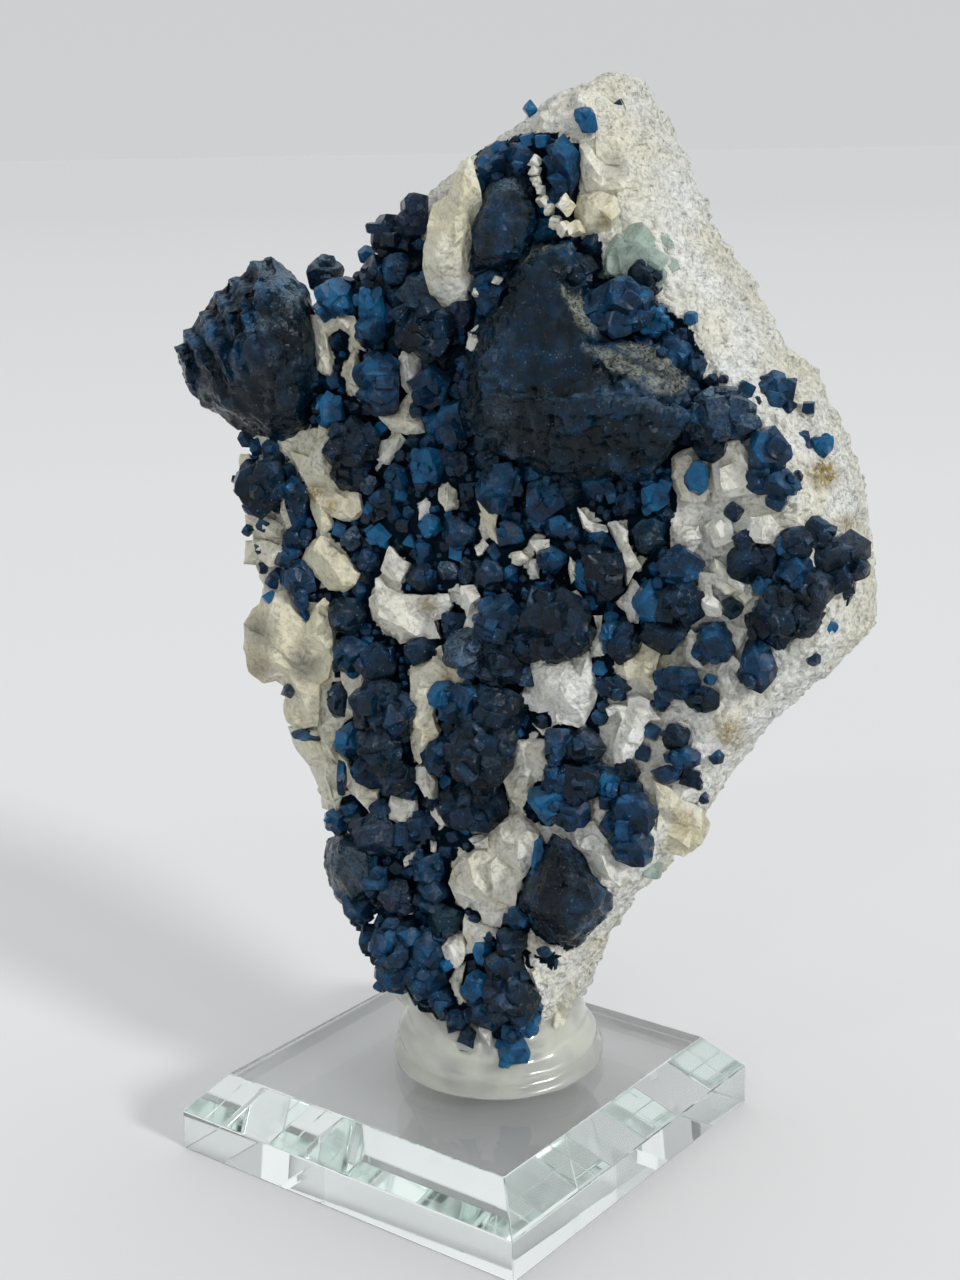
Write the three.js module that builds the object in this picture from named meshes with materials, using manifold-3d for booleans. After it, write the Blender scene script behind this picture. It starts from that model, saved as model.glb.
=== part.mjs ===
import * as THREE from 'three';
import { mergeVertices } from 'three/addons/utils/BufferGeometryUtils.js';
import Module from 'manifold-3d';

const wasm = await Module();
wasm.setup();

// A crystal specimen that stands on its tip in a putty mound on a bevelled glass plate.
// All sizes are millimetres. The origin is the middle of the plate's underside, +Z is up
// and the plate's sides run along X and Y.

// Driving dimensions of the stand
const PLATE_SIDE = 50;
const PLATE_UPRIGHT = 5;
const PLATE_BEVEL_DROP = 4.5;
const PLATE_BEVEL_INSET = 4.1;
const PLATE_TOP = PLATE_UPRIGHT + PLATE_BEVEL_DROP;
const PUTTY_RADIUS = 12.9;
const PUTTY_HEIGHT = 10.4;
const PUTTY_SEGMENTS = 28;
const GAP = 0.3;

// Driving dimensions of the rock slab. Its own frame has u across the crystal face, z up
// and n out of the face, from the axis of the putty mound.
const SLAB_CENTRE = new THREE.Vector2(2.9, 2.2);
const SLAB_TURN = THREE.MathUtils.degToRad(12.5);
const ROCK_WIDEST_N = -4;
const ROCK_FRONT_DEPTH = 13;
const ROCK_FRONT_INSET = 4;
const ROCK_BACK_N = -12;
const ROCK_CORE = 1;
const ROCK_FRONT_N = ROCK_WIDEST_N + ROCK_FRONT_DEPTH;

// Driving dimensions of the crystals
const CRYSTAL_LIFT = 0.35;
const CRYSTAL_LEAN_STEP = 11;
const CRYSTAL_LEAN_STEPS = 5;
const SMALLEST_DEPTH = 1.2;
const LOWEST_FRONT_N = 3;
const CRYSTAL_SPREAD = 1.1;
const MANY_SIDED_FROM = 2.9;
const FILL_PITCH = 4.6;
const FILL_RADIUS = 2.55;
const FILL_CLEARANCE = 1;
const FILL_START = { u: -28, z: 14 };
const FILL_SPAN = { u: 80, z: 110 };
const SMALLEST_CHIP = 6;
const CLUSTER_VOLUME = 100;
const BLOCK_PROUD = 2.5;
const BLOCK_STEP = 0.35;
const BLOCK_STEPS = 4;
const BLOCK_DEPTH = 9;
const BLOCK_REACH = 2.8;
const BLADE_PROUD = 5;
const WELD = 1e-4;

// Turns between one crystal and the next, in radians, so that no two stand alike
const TURN_UPRIGHT = 2.4;
const TURN_OVER = 1.1;

// Faces and blocks are placed as seen from this eye point, on a plane just before the slab.
const EYE = { u: 91, n: 198, z: 118.6 };
const READ_N = 12;

// Outline of the rock slab at its widest, clockwise from the summit, as [u, z].
const ROCK_OUTLINE = [
  [15.4, 126.2], [19.4, 124.3], [21, 120.6], [24, 114.8], [28.5, 106.3], [33.2, 99.7], [38.1, 93],
  [41, 88.9], [43.4, 83.9], [44.7, 72.7], [45.5, 67.5], [44.2, 65.3], [41.2, 61.2], [37.8, 57.8],
  [33.2, 52], [28.9, 45.6], [25, 38.7], [18.8, 31.5], [14.4, 25.7], [11.4, 20], [7, 13.2],
  [-3, 12.6], [-9, 16.5], [-13, 21], [-14.5, 28], [-17.5, 33], [-19.5, 41], [-21.5, 47],
  [-24.5, 51], [-24.5, 54], [-27.5, 55.5], [-29.5, 58.5], [-29.5, 64], [-27.5, 68], [-29, 72],
  [-28.5, 80], [-26, 88], [-24.5, 97.6], [-16, 104.5], [-11, 108], [-4.5, 115], [1.1, 119],
  [5.2, 121.4], [9.3, 124.6],
];

// Where the face is crusted with blue crystals, on the reading plane, as [u, z].
const CRUST_REGION = [
  [5, 118], [16, 118.5], [16, 113.5], [22, 105], [27, 101], [29, 99.5], [36, 95.5], [42, 94],
  [44, 90], [43, 87], [39, 84], [40, 82], [46.5, 80], [46, 73], [41, 73], [38.5, 68],
  [36, 63], [31, 60.5], [29.5, 56], [30.5, 50.5], [25, 51], [24.5, 46], [22.5, 42.5],
  [20, 38], [17, 31], [13, 28], [11.5, 22], [9.5, 16.5], [3, 17], [-5, 20.5], [-10, 22],
  [-11.5, 27], [-14, 30], [-16.5, 36], [-15.8, 42.5], [-14, 45], [-14.3, 49], [-17, 53.5],
  [-16, 58], [-14.5, 61], [-15, 68], [-20, 68], [-25, 69], [-25.5, 75], [-25, 86], [-17, 87],
  [-15.5, 99], [-15, 103], [-10, 105], [-8, 109], [-3, 112], [-1, 104.5], [3, 106], [4, 112],
];

// White and cream blocks that show between the blue crystals, on the reading plane, as [u, z].
const WHITE_BLOCKS = [
  [[16.2, 118.5], [20, 121], [22, 119.5], [22.5, 116], [21, 114.3], [17, 114]],
  [[15.2, 112], [16, 113.8], [18, 114.2], [20, 113.6], [21, 112], [20, 110.6], [16.5, 110.2]],
  [[-15.8, 101], [-10.3, 101], [-9.6, 98], [-11, 99.3], [-12.5, 100], [-14, 98.5], [-13.8, 94.5],
    [-15.3, 95]],
  [[-7.8, 90.2], [-5.3, 91], [-3.8, 93], [-2.2, 89.6], [-2.4, 88.6], [-6.5, 88.6]],
  [[-16.4, 88], [-15, 89.5], [-13.2, 88], [-13.8, 83.5], [-12.8, 81.7], [-10.5, 81.5], [-10.2, 79.5],
    [-13.2, 78.3], [-15.6, 76.3], [-16.7, 79.5], [-17.5, 82.5]],
  [[-17.5, 75], [-15.5, 76.3], [-12.5, 74], [-11, 72], [-13, 69.8], [-14.8, 70], [-18.2, 73]],
  [[-8, 73], [-6.6, 75.6], [-4.6, 74], [-5.4, 71.6], [-7, 71.6]],
  [[-25.6, 77.5], [-21, 76.6], [-21.6, 73], [-25.6, 72]],
  [[9.6, 77.6], [12.5, 77.6], [11.4, 73.4], [10, 73.6], [8, 75.4]],
  [[15.8, 81.5], [19.4, 80.2], [21.6, 79.4], [23, 75.5], [21.5, 73.5], [20.8, 77.3], [19, 78.9],
    [16.5, 79.2]],
  [[20.2, 71.5], [22, 74.2], [23.6, 72.5], [23, 70.2], [21.9, 69.2]],
  [[1.9, 71.8], [3.8, 72], [4.2, 69], [3.8, 66.2], [2.8, 65.4], [2, 67]],
  [[-9.6, 69.7], [-8.4, 72], [-5.2, 70.4], [0.3, 70.8], [0.8, 69.5], [-0.8, 65.5], [-5.8, 64.6], [-9, 67]],
  [[-4.5, 62.2], [-0.7, 64.6], [2.3, 62.4], [1.6, 60.5], [-0.8, 59.5], [-2, 56.5], [-1.3, 54],
    [-3.7, 50.5], [-4.9, 55]],
  [[-8, 44.8], [-7.2, 46.4], [-4.5, 46], [-5, 43.5], [-7.6, 42.9]],
  [[-13.7, 61.2], [-11.4, 59.9], [-9.7, 63.3], [-9.8, 60.6], [-11.7, 55.8], [-14.7, 52.3], [-13.3, 49.6],
    [-12.5, 47.6], [-9.1, 46.8], [-10.4, 43.7], [-13.4, 46.6], [-14.5, 49.4], [-17.2, 53], [-13.2, 57.8]],
  [[-24.5, 67.5], [-20.5, 69.5], [-18.5, 66], [-15.5, 69], [-14.5, 62], [-16.5, 58.5], [-17, 53.5],
    [-21.2, 53.2], [-21, 57.7], [-24.3, 58], [-26, 59.5], [-26.2, 65]],
  [[10.4, 65.6], [11.5, 66.5], [13, 64.6], [17, 66.5], [18, 61], [16.5, 57.5], [12.6, 56.6], [11.6, 58.2],
    [9.3, 58.8], [9.2, 60.8], [10.3, 61.4]],
  [[20, 65], [22, 66.8], [24, 67.2], [25.5, 66.6], [24.6, 63.4], [24.2, 61.7], [22.5, 63.4], [20.2, 63.5]],
  [[19, 59.5], [21.7, 61], [24, 61], [25.2, 59], [23.3, 58], [23, 55.6], [21, 53.2], [19.8, 54], [21, 58.4]],
  [[28.8, 73.4], [29.3, 75.6], [32.2, 75.6], [33.4, 73.8], [31.4, 73], [31.7, 70.9], [30.2, 70.9]],
  [[33, 73.9], [34.8, 74.5], [36.5, 73.2], [35, 71], [33.4, 72.4]],
  [[8, 53.5], [10, 55], [12.3, 55.2], [12, 51.4], [10.5, 50], [8.8, 46.8], [7.8, 47.5], [6.5, 50.4]],
  [[-0.5, 36.5], [0.3, 38.4], [4.5, 41], [5, 44], [7.2, 46.2], [9.4, 46.2], [11, 43.6], [10, 40], [8.4, 37],
    [8, 35], [6, 32], [4, 32.2], [2.5, 34.5], [0.6, 34]],
  [[14.8, 43.4], [15, 45.5], [17.5, 46.5], [19.6, 43], [22, 40.5], [20, 37.8], [18, 39.3], [16.6, 42]],
  [[24.5, 52], [30, 49.6], [31, 48], [28, 43.8], [25.5, 44]],
  [[-1.8, 27.4], [-0.4, 29.4], [1.2, 29.5], [1.4, 27.4], [0.2, 26]],
  [[1.2, 30.5], [1.6, 32.4], [6, 31.3], [6.6, 30.2], [4.4, 30.2], [2.8, 28.5], [1.6, 28.4]],
  [[8.4, 31], [10.2, 32.2], [13, 30.8], [11, 29.3], [9.6, 29.6]],
  [[10.6, 28.2], [14, 26.8], [15, 24.4], [13, 19.5], [11.9, 20.2], [12, 22.4], [11, 25]],
  [[26.5, 87.5], [28.5, 88.6], [30.2, 87.4], [30.2, 83], [28, 82.8], [26.6, 85.4]],
  [[30.8, 88.6], [33.5, 89.4], [35, 86.4], [35, 84], [32.5, 83.4], [31, 84.4]],
  [[26.4, 79.8], [29.2, 80.3], [29.6, 78.6], [28.4, 77], [27, 77.6]],
  [[30.4, 80.4], [31.8, 82], [33, 80.3], [32.8, 78.6], [31, 78]],
];

// The tall cream blade at the top left, on the reading plane, as [u, z].
const CREAM_BLADE = [
  [4, 117.8], [5.2, 114], [3.6, 112], [3.8, 110.5], [2.4, 106.5], [-0.8, 105.2], [-1.9, 106.2],
  [-1.2, 110.5], [1.2, 113.8], [3.2, 117.6],
];

// The largest crystals: the place on the reading plane, the middle's n, half the width, depth and
// height, and the lean across the face in degrees.
const LARGE_CRYSTALS = [
  { at: [-24, 96.6], n: 7, half: [8.3, 8.5, 10.9], lean: 12 },
  { at: [15.6, 94.8], n: 8.6, half: [12.6, 9.6, 11.2], lean: -8 },
  { at: [12.2, 101.2], n: 12, half: [4.8, 6, 6.6], lean: 4 },
  { at: [7, 110.4], n: 10.6, half: [4.7, 4.6, 5.7], lean: 20 },
  { at: [13.4, 37.6], n: 9.2, half: [6.2, 4.6, 6.8], lean: -14 },
  { at: [-13, 36.2], n: 6.6, half: [4.2, 4.4, 5.6], lean: 8 },
];

// The other blue crystals that stand out: [u, z, half width, half height], the height left out
// where it equals the width.
const BLUE_CRYSTALS = [
  [7, 117, 2.3], [9.6, 117.2, 1.8], [17, 121, 1.6], [14.6, 116.4, 2.2, 3.2], [-13.6, 105, 2.2],
  [-12.3, 102.6, 2.7], [-7.6, 105.6, 2], [-5.8, 109.6, 2.6], [-2.6, 111.6, 2.2, 3], [-5, 106, 2.1],
  [-8, 102.5, 2.2], [-2, 103.5, 2.6], [-1.5, 100, 3.8], [-8, 99.3, 2.3], [-7, 93.8, 3.1, 3.6],
  [-1.2, 94, 2.7], [-13.4, 91, 2.1], [-11, 87, 3.2], [-11, 83.6, 2.1], [-2, 85, 2.4],
  [20.5, 102.6, 4.3, 3.1], [24.2, 101.2, 2], [7, 83, 3], [12, 82.2, 2.6], [20, 82.6, 3.8, 2.2],
  [24.6, 83.4, 1.9], [-22.4, 82, 3.3, 4], [-18.4, 76, 1.9], [-18.6, 70.9, 2.4], [1.8, 77.8, 2],
  [-1.8, 77.8, 1.8], [8.2, 78.2, 1.9], [12.8, 75.4, 1.9], [16.6, 74.2, 1.6, 2.3], [19, 74.8, 2.9],
  [37.2, 94, 2.8, 2.7], [32, 91.8, 4.4, 2.9], [36.3, 88.3, 2.3, 3.1], [38, 85, 2], [30.4, 89, 1.8],
  [43, 77.6, 4.3], [34.4, 77, 2.3], [38.6, 72.6, 3.2], [36.6, 74.6, 1.6], [37, 71.4, 1.8],
  [39.4, 76.4, 2.2], [32.8, 72.2, 1.6], [24, 72.2, 2.5], [27.5, 72.2, 2.8], [27.4, 76, 2.6],
  [31, 68, 2.5], [35.7, 66.2, 2.3, 3.1], [25.8, 68.6, 2.7, 2.3], [27, 63.6, 2.8, 2.2],
  [30, 61.7, 1.9, 1.5], [27, 57.3, 1.7], [27.8, 55.2, 2.1, 1.6], [26, 53, 1.9, 1.2], [28.7, 52.6, 1.8],
  [1, 67.6, 1.8], [7, 68.5, 3.1], [10.6, 66, 2.2], [13.6, 69, 4.5, 4.4], [20.4, 67.6, 2.2, 2.6],
  [19.4, 61.8, 1.7], [-3, 63.6, 2.4], [3, 64.8, 3.2], [7, 63.4, 3.2], [-0.4, 58.6, 2.3],
  [2.8, 58.2, 3.3], [6.6, 58, 3.5], [-1.2, 52, 2.6], [4.4, 53, 4.6], [3, 46.6, 4.4, 3.5],
  [14.4, 54.8, 2.5], [17, 54.6, 2.5], [13.6, 50.8, 2.4], [16.3, 51, 2.9], [12.5, 48.2, 2.5],
  [15.2, 47.6, 2.4], [19.6, 51.5, 1.9], [21.6, 53, 1.7], [22, 50.2, 2], [22, 47.8, 2.9],
  [22.2, 44.6, 2.7], [-12.3, 67.4, 2.6], [-12.2, 63.2, 2.6], [-14, 57.6, 1.8], [-18.3, 52.2, 1.9, 0.9],
  [-8.6, 62, 2.8], [-9, 57, 3.5], [-6.6, 56, 3.2], [-11.8, 52.6, 2.4], [-8.5, 52.2, 3.5],
  [-10, 49.2, 2.4], [-6.5, 48.8, 2.6], [-9, 44.4, 1.7], [-14.6, 42.2, 1.9], [-12, 42.2, 1.9],
  [-9.4, 41.4, 2.9], [-6, 41.2, 2.1], [-3.6, 42.6, 2.1], [-9.4, 35.6, 2.4], [-12.2, 31.8, 2.6],
  [-7, 34, 2.6], [-3, 38, 2.6], [-2.6, 34.8, 2.5], [-0.8, 31.8, 2.3], [-10.4, 28, 2.3],
  [-7, 27.8, 3.5], [-3.3, 28, 3], [-7.6, 23.9, 2.8], [-4, 24.4, 3], [-1.8, 22, 1.9], [7.4, 30.2, 2.2],
  [6.8, 27, 2.9], [3.2, 24.3, 2.4], [7, 23.5, 3.3], [3.8, 20.8, 2.3], [9, 21, 2], [7.3, 17.2, 2.4],
  [12.4, 44, 1.7], [8.2, 33.8, 1.8],
];

// Pale green crystals that let light through: the same list as for the blue ones.
const GREEN_CRYSTALS = [
  [22.4, 107.4, 3.2, 2.4], [19.8, 107.6, 2.2, 2], [25, 106.6, 1.8, 2],
];

// Broad breaks across the rock's back: a point on each as [u, n, z] and its outward normal.
const BACK_BREAKS = [
  { point: [0, -5.5, 12], normal: [0, -1, -0.14] },
  { point: [30, -11, 95], normal: [0.62, -1, 0.35] },
  { point: [-22, -11, 80], normal: [-0.75, -1, 0.1] },
  { point: [10, -11, 112], normal: [-0.25, -1, 0.5] },
  { point: [38, -10, 60], normal: [0.8, -1, -0.45] },
];
const BREAK_SIZE = 260;

// Crystal forms of about one unit's radius
const EIGHT_SIDED = new THREE.OctahedronGeometry(1.25, 0);
const TWENTY_SIDED = new THREE.IcosahedronGeometry(1.05, 0);
const EIGHTY_SIDED = new THREE.IcosahedronGeometry(1, 1);

// The closed three.js geometry as a solid, turned the right way out if it faces inwards.
function solidFrom(geometry) {
  const bare = geometry.clone();
  bare.deleteAttribute('normal');
  bare.deleteAttribute('uv');
  const merged = mergeVertices(bare, WELD);
  const corners = merged.index.array;
  const triangles = [];
  for (let i = 0; i < corners.length; i += 3) {
    const [a, b, c] = corners.slice(i, i + 3);
    if (a !== b && b !== c && c !== a) {
      triangles.push(a, b, c);
    }
  }
  const vertProperties = Float32Array.from(merged.attributes.position.array);
  const build = (list) => {
    const triVerts = Uint32Array.from(list);
    return new wasm.Manifold(new wasm.Mesh({ numProp: 3, vertProperties, triVerts }));
  };
  const solid = build(triangles);
  return solid.volume() > 0 ? solid : build(triangles.reverse());
}

function geometryFrom(solid) {
  const { vertProperties, triVerts } = solid.getMesh();
  const geometry = new THREE.BufferGeometry();
  geometry.setAttribute('position', new THREE.BufferAttribute(Float32Array.from(vertProperties), 3));
  geometry.setIndex(new THREE.BufferAttribute(Uint32Array.from(triVerts), 1));
  geometry.computeVertexNormals();
  return geometry;
}

// The separate pieces of a solid, largest first, without chips under a volume.
function piecesOf(solid, smallest) {
  return solid.decompose()
    .filter((piece) => piece.volume() > smallest)
    .sort((a, b) => b.volume() - a.volume());
}

// The place [u, z] at depth n that lies behind or before a place on the reading plane.
function alongSight([u, z], n) {
  const reach = (EYE.n - n) / (EYE.n - READ_N);
  return [EYE.u + (u - EYE.u) * reach, EYE.z + (z - EYE.z) * reach];
}

function isInside([u, z], outline) {
  let inside = false;
  outline.forEach(([u1, z1], i) => {
    const [u2, z2] = outline[(i + 1) % outline.length];
    if ((z1 > z) !== (z2 > z) && u < u1 + ((z - z1) * (u2 - u1)) / (z2 - z1)) {
      inside = !inside;
    }
  });
  return inside;
}

function distanceTo([u, z], outline) {
  let nearest = Infinity;
  outline.forEach(([u1, z1], i) => {
    const [u2, z2] = outline[(i + 1) % outline.length];
    const along = ((u - u1) * (u2 - u1) + (z - z1) * (z2 - z1)) / ((u2 - u1) ** 2 + (z2 - z1) ** 2);
    const part = THREE.MathUtils.clamp(along, 0, 1);
    nearest = Math.min(nearest, Math.hypot(u - u1 - part * (u2 - u1), z - z1 - part * (z2 - z1)));
  });
  return nearest;
}

// How far the rock's front stands out at [u, z]: its edges round off as a quarter of an ellipse.
function rockFront(place) {
  const inset = isInside(place, ROCK_OUTLINE) ? distanceTo(place, ROCK_OUTLINE) : 0;
  const rise = Math.min(inset / ROCK_FRONT_INSET, 1);
  const front = ROCK_WIDEST_N + ROCK_FRONT_DEPTH * Math.sqrt(1 - (1 - rise) ** 2);
  return Math.max(front, LOWEST_FRONT_N);
}

// An outline moved outwards by a gap all round, with its corners kept sharp.
function grownOutline(outline, gap) {
  const turn = THREE.ShapeUtils.area(outline.map(([u, z]) => new THREE.Vector2(u, z))) > 0 ? 1 : -1;
  return outline.map(([u, z], i) => {
    const before = outline[(i + outline.length - 1) % outline.length];
    const after = outline[(i + 1) % outline.length];
    const into = new THREE.Vector2(u - before[0], z - before[1]).normalize();
    const out = new THREE.Vector2(after[0] - u, after[1] - z).normalize();
    const side = new THREE.Vector2(into.y + out.y, -into.x - out.x).multiplyScalar(turn);
    const spread = Math.max(side.lengthSq() / 2, 0.5);
    return [u + (side.x * gap) / spread, z + (side.y * gap) / spread];
  });
}

// A prism over an outline, from one depth in the slab to another.
function prism(outline, fromN, toN, bevel = {}) {
  const shape = new THREE.Shape(outline.map(([u, z]) => new THREE.Vector2(u, z)));
  const options = { depth: toN - fromN, bevelEnabled: false, ...bevel };
  const geometry = new THREE.ExtrudeGeometry(shape, options);
  geometry.rotateX(Math.PI / 2);
  geometry.translate(0, -fromN, 0);
  return solidFrom(geometry);
}

// Everything outside a plane through a point, as one very large box.
function beyondPlane([u, n, z], [normalU, normalN, normalZ]) {
  const geometry = new THREE.BoxGeometry(BREAK_SIZE, BREAK_SIZE, BREAK_SIZE);
  geometry.translate(0, 0, BREAK_SIZE / 2);
  const outward = new THREE.Vector3(normalU, -normalN, normalZ).normalize();
  const turn = new THREE.Quaternion().setFromUnitVectors(new THREE.Vector3(0, 0, 1), outward);
  geometry.applyQuaternion(turn);
  geometry.translate(u, -n, z);
  return solidFrom(geometry);
}

// The slab of rock, grown by a gap on its front and sides.
function rock(gap = 0) {
  const body = prism(grownOutline(ROCK_OUTLINE, gap), ROCK_WIDEST_N - ROCK_CORE, ROCK_WIDEST_N + gap, {
    bevelEnabled: true,
    bevelThickness: ROCK_FRONT_DEPTH,
    bevelSize: ROCK_FRONT_INSET,
    bevelOffset: -ROCK_FRONT_INSET,
    bevelSegments: 2,
  });
  const breaks = [{ point: [0, ROCK_BACK_N, 0], normal: [0, -1, 0] }, ...BACK_BREAKS];
  return breaks.reduce((left, { point: [u, n, z], normal }) => {
    return left.subtract(beyondPlane([u, n - gap, z], normal));
  }, body);
}

// A block that is rooted in the rock and stands proud of its front.
function whiteBlock(outline, proud, gap) {
  const count = outline.length;
  const middle = outline.reduce(([u, z], [pu, pz]) => [u + pu / count, z + pz / count], [0, 0]);
  const frontN = rockFront(alongSight(middle, ROCK_FRONT_N)) + proud;
  const placed = outline.map((place) => alongSight(place, frontN));
  return prism(grownOutline(placed, gap), frontN - BLOCK_DEPTH, frontN + gap);
}

function whiteBlocks(gap = 0) {
  const blocks = WHITE_BLOCKS.map((outline, i) => {
    return whiteBlock(outline, BLOCK_PROUD + BLOCK_STEP * (i % BLOCK_STEPS), gap);
  });
  const held = wasm.Manifold.union(blocks).intersect(rock(BLOCK_REACH + gap));
  return held.add(whiteBlock(CREAM_BLADE, BLADE_PROUD, gap));
}

// One facetted crystal about its middle [u, z] at depth n, leaning and turned by an index.
function crystal(form, [u, z], n, [width, depth, height], lean, index, gap) {
  const geometry = form.clone();
  geometry.rotateY(index * TURN_UPRIGHT);
  geometry.rotateX(index * TURN_OVER);
  geometry.scale(width + gap, depth + gap, height + gap);
  geometry.rotateY(THREE.MathUtils.degToRad(lean));
  geometry.translate(u, -n, z);
  return solidFrom(geometry);
}

function smallCrystal([u, z, halfWidth, halfHeight = halfWidth], index, gap) {
  const width = halfWidth * CRYSTAL_SPREAD;
  const height = halfHeight * CRYSTAL_SPREAD;
  const depth = Math.max(width, SMALLEST_DEPTH);
  const lean = (index % CRYSTAL_LEAN_STEPS) * CRYSTAL_LEAN_STEP;
  const nearFront = alongSight([u, z], ROCK_FRONT_N + CRYSTAL_LIFT * depth);
  const n = rockFront(nearFront) + CRYSTAL_LIFT * depth;
  const form = width > MANY_SIDED_FROM ? TWENTY_SIDED : EIGHT_SIDED;
  return crystal(form, alongSight([u, z], n), n, [width, depth, height], lean, index, gap);
}

function largeCrystal({ at, n, half, lean }, index, gap) {
  return crystal(EIGHTY_SIDED, alongSight(at, n), n, half, lean, index, gap);
}

// Where the small crystals of the crust stand between the named ones: a staggered grid.
function crustPlaces() {
  const places = [];
  const rowPitch = FILL_PITCH * Math.sqrt(0.75);
  const named = [
    ...BLUE_CRYSTALS,
    ...LARGE_CRYSTALS.map(({ at, half }) => [at[0], at[1], half[0]]),
  ];
  for (let row = 0; row * rowPitch < FILL_SPAN.z; row += 1) {
    for (let column = 0; column * FILL_PITCH < FILL_SPAN.u; column += 1) {
      const u = FILL_START.u + column * FILL_PITCH + (row % 2) * (FILL_PITCH / 2);
      const z = FILL_START.z + row * rowPitch;
      const isCovered = named.some(([cu, cz, r]) => Math.hypot(cu - u, cz - z) < r);
      const isWhite = [...WHITE_BLOCKS, CREAM_BLADE].some((outline) => {
        return isInside([u, z], outline) || distanceTo([u, z], outline) < FILL_CLEARANCE;
      });
      if (isInside([u, z], CRUST_REGION) && !isCovered && !isWhite) {
        places.push([u, z, FILL_RADIUS]);
      }
    }
  }
  return places;
}

function blueCrystals(gap = 0) {
  const places = [...BLUE_CRYSTALS, ...crustPlaces()];
  return wasm.Manifold.union([
    ...LARGE_CRYSTALS.map((entry, i) => largeCrystal(entry, i, gap)),
    ...places.map((entry, i) => smallCrystal(entry, i, gap)),
  ]);
}

function greenCrystals(gap = 0) {
  return wasm.Manifold.union(GREEN_CRYSTALS.map((entry, i) => smallCrystal(entry, i, gap)));
}

// The putty mound: a spread foot with a rolled coil round it, and a domed top.
function puttyMound() {
  const profile = [
    [0, 0],
    [PUTTY_RADIUS - 1, 0],
    [PUTTY_RADIUS, 1.2],
    [PUTTY_RADIUS - 0.2, 2.6],
    [PUTTY_RADIUS - 1.2, 3.8],
    [PUTTY_RADIUS - 1.5, 5.6],
    [PUTTY_RADIUS - 2.2, 8],
    [PUTTY_RADIUS - 4.2, PUTTY_HEIGHT - 0.6],
    [0, PUTTY_HEIGHT],
  ];
  const points = profile.map(([r, h]) => new THREE.Vector2(r, h));
  const geometry = new THREE.LatheGeometry(points, PUTTY_SEGMENTS);
  geometry.rotateX(Math.PI / 2);
  geometry.translate(0, 0, PLATE_TOP + GAP);
  return solidFrom(geometry);
}

// The square glass plate: upright sides, then a wide bevel up to its flat top.
function glassPlate() {
  const corner = (PLATE_SIDE / 2) * Math.SQRT2;
  const topCorner = (PLATE_SIDE / 2 - PLATE_BEVEL_INSET) * Math.SQRT2;
  const profile = [[0, 0], [corner, 0], [corner, PLATE_UPRIGHT], [topCorner, PLATE_TOP], [0, PLATE_TOP]];
  const points = profile.map(([r, h]) => new THREE.Vector2(r, h));
  const geometry = new THREE.LatheGeometry(points, 4, Math.PI / 4);
  geometry.rotateX(Math.PI / 2);
  return solidFrom(geometry);
}

const glass = new THREE.MeshStandardMaterial({ color: 0xd8e6e0, roughness: 0.05, metalness: 0 });
const putty = new THREE.MeshStandardMaterial({ color: 0xd6d6c8, roughness: 0.3, metalness: 0 });
const stone = new THREE.MeshStandardMaterial({ color: 0xe4e0d4, roughness: 0.7, metalness: 0 });
const blue = new THREE.MeshStandardMaterial({ color: 0x123a66, roughness: 0.3, metalness: 0 });
const green = new THREE.MeshStandardMaterial({ color: 0xa9c4b8, roughness: 0.2, metalness: 0 });

function addPiece(parent, name, solid, material) {
  const mesh = new THREE.Mesh(geometryFrom(solid), material);
  mesh.name = name;
  parent.add(mesh);
}

const group = new THREE.Group();
addPiece(group, 'glass_base', glassPlate(), glass);

const slab = new THREE.Group();
slab.position.set(SLAB_CENTRE.x, SLAB_CENTRE.y, 0);
slab.rotation.z = SLAB_TURN;
group.add(slab);

const matrix = rock().add(whiteBlocks());
const matrixWithGap = rock(GAP).add(whiteBlocks(GAP));
const blueWithGap = blueCrystals(GAP);
addPiece(slab, 'matrix', matrix, stone);
const socketed = puttyMound().subtract(matrixWithGap).subtract(blueWithGap);
addPiece(slab, 'putty_mound', piecesOf(socketed, SMALLEST_CHIP)[0], putty);

// Crystals that overlap are one solid, and those that stand apart are pieces of their own.
piecesOf(blueCrystals().subtract(matrixWithGap), SMALLEST_CHIP).forEach((piece, i) => {
  const kind = piece.volume() > CLUSTER_VOLUME ? 'blue_cluster' : 'blue_crystal';
  addPiece(slab, `${kind}_${String(i + 1).padStart(2, '0')}`, piece, blue);
});

const greenRest = greenCrystals().subtract(matrixWithGap).subtract(blueWithGap);
piecesOf(greenRest, SMALLEST_CHIP).forEach((piece, i) => {
  addPiece(slab, `green_crystal_${i + 1}`, piece, green);
});

export default group;
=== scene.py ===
"""The looks of a blue crystal specimen that stands on its tip in putty on a bevelled glass plate."""

import logging
import math
import random
from collections.abc import Iterator, Sequence
from contextlib import contextmanager
from dataclasses import dataclass, field
from enum import Enum

import bpy
import numpy as np
from mathutils import Matrix, Vector, geometry, noise


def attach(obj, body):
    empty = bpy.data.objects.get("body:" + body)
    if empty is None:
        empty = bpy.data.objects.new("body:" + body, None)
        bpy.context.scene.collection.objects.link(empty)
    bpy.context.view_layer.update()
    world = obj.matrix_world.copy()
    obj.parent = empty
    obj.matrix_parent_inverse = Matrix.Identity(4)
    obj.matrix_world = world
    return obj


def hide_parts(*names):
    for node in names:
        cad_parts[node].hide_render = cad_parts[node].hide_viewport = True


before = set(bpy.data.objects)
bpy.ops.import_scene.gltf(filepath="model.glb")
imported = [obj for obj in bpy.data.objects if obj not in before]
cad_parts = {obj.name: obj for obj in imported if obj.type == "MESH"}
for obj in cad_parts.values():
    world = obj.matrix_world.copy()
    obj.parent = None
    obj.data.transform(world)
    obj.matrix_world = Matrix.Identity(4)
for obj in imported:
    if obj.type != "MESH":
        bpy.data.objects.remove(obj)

LOG = logging.getLogger("specimen")
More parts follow.
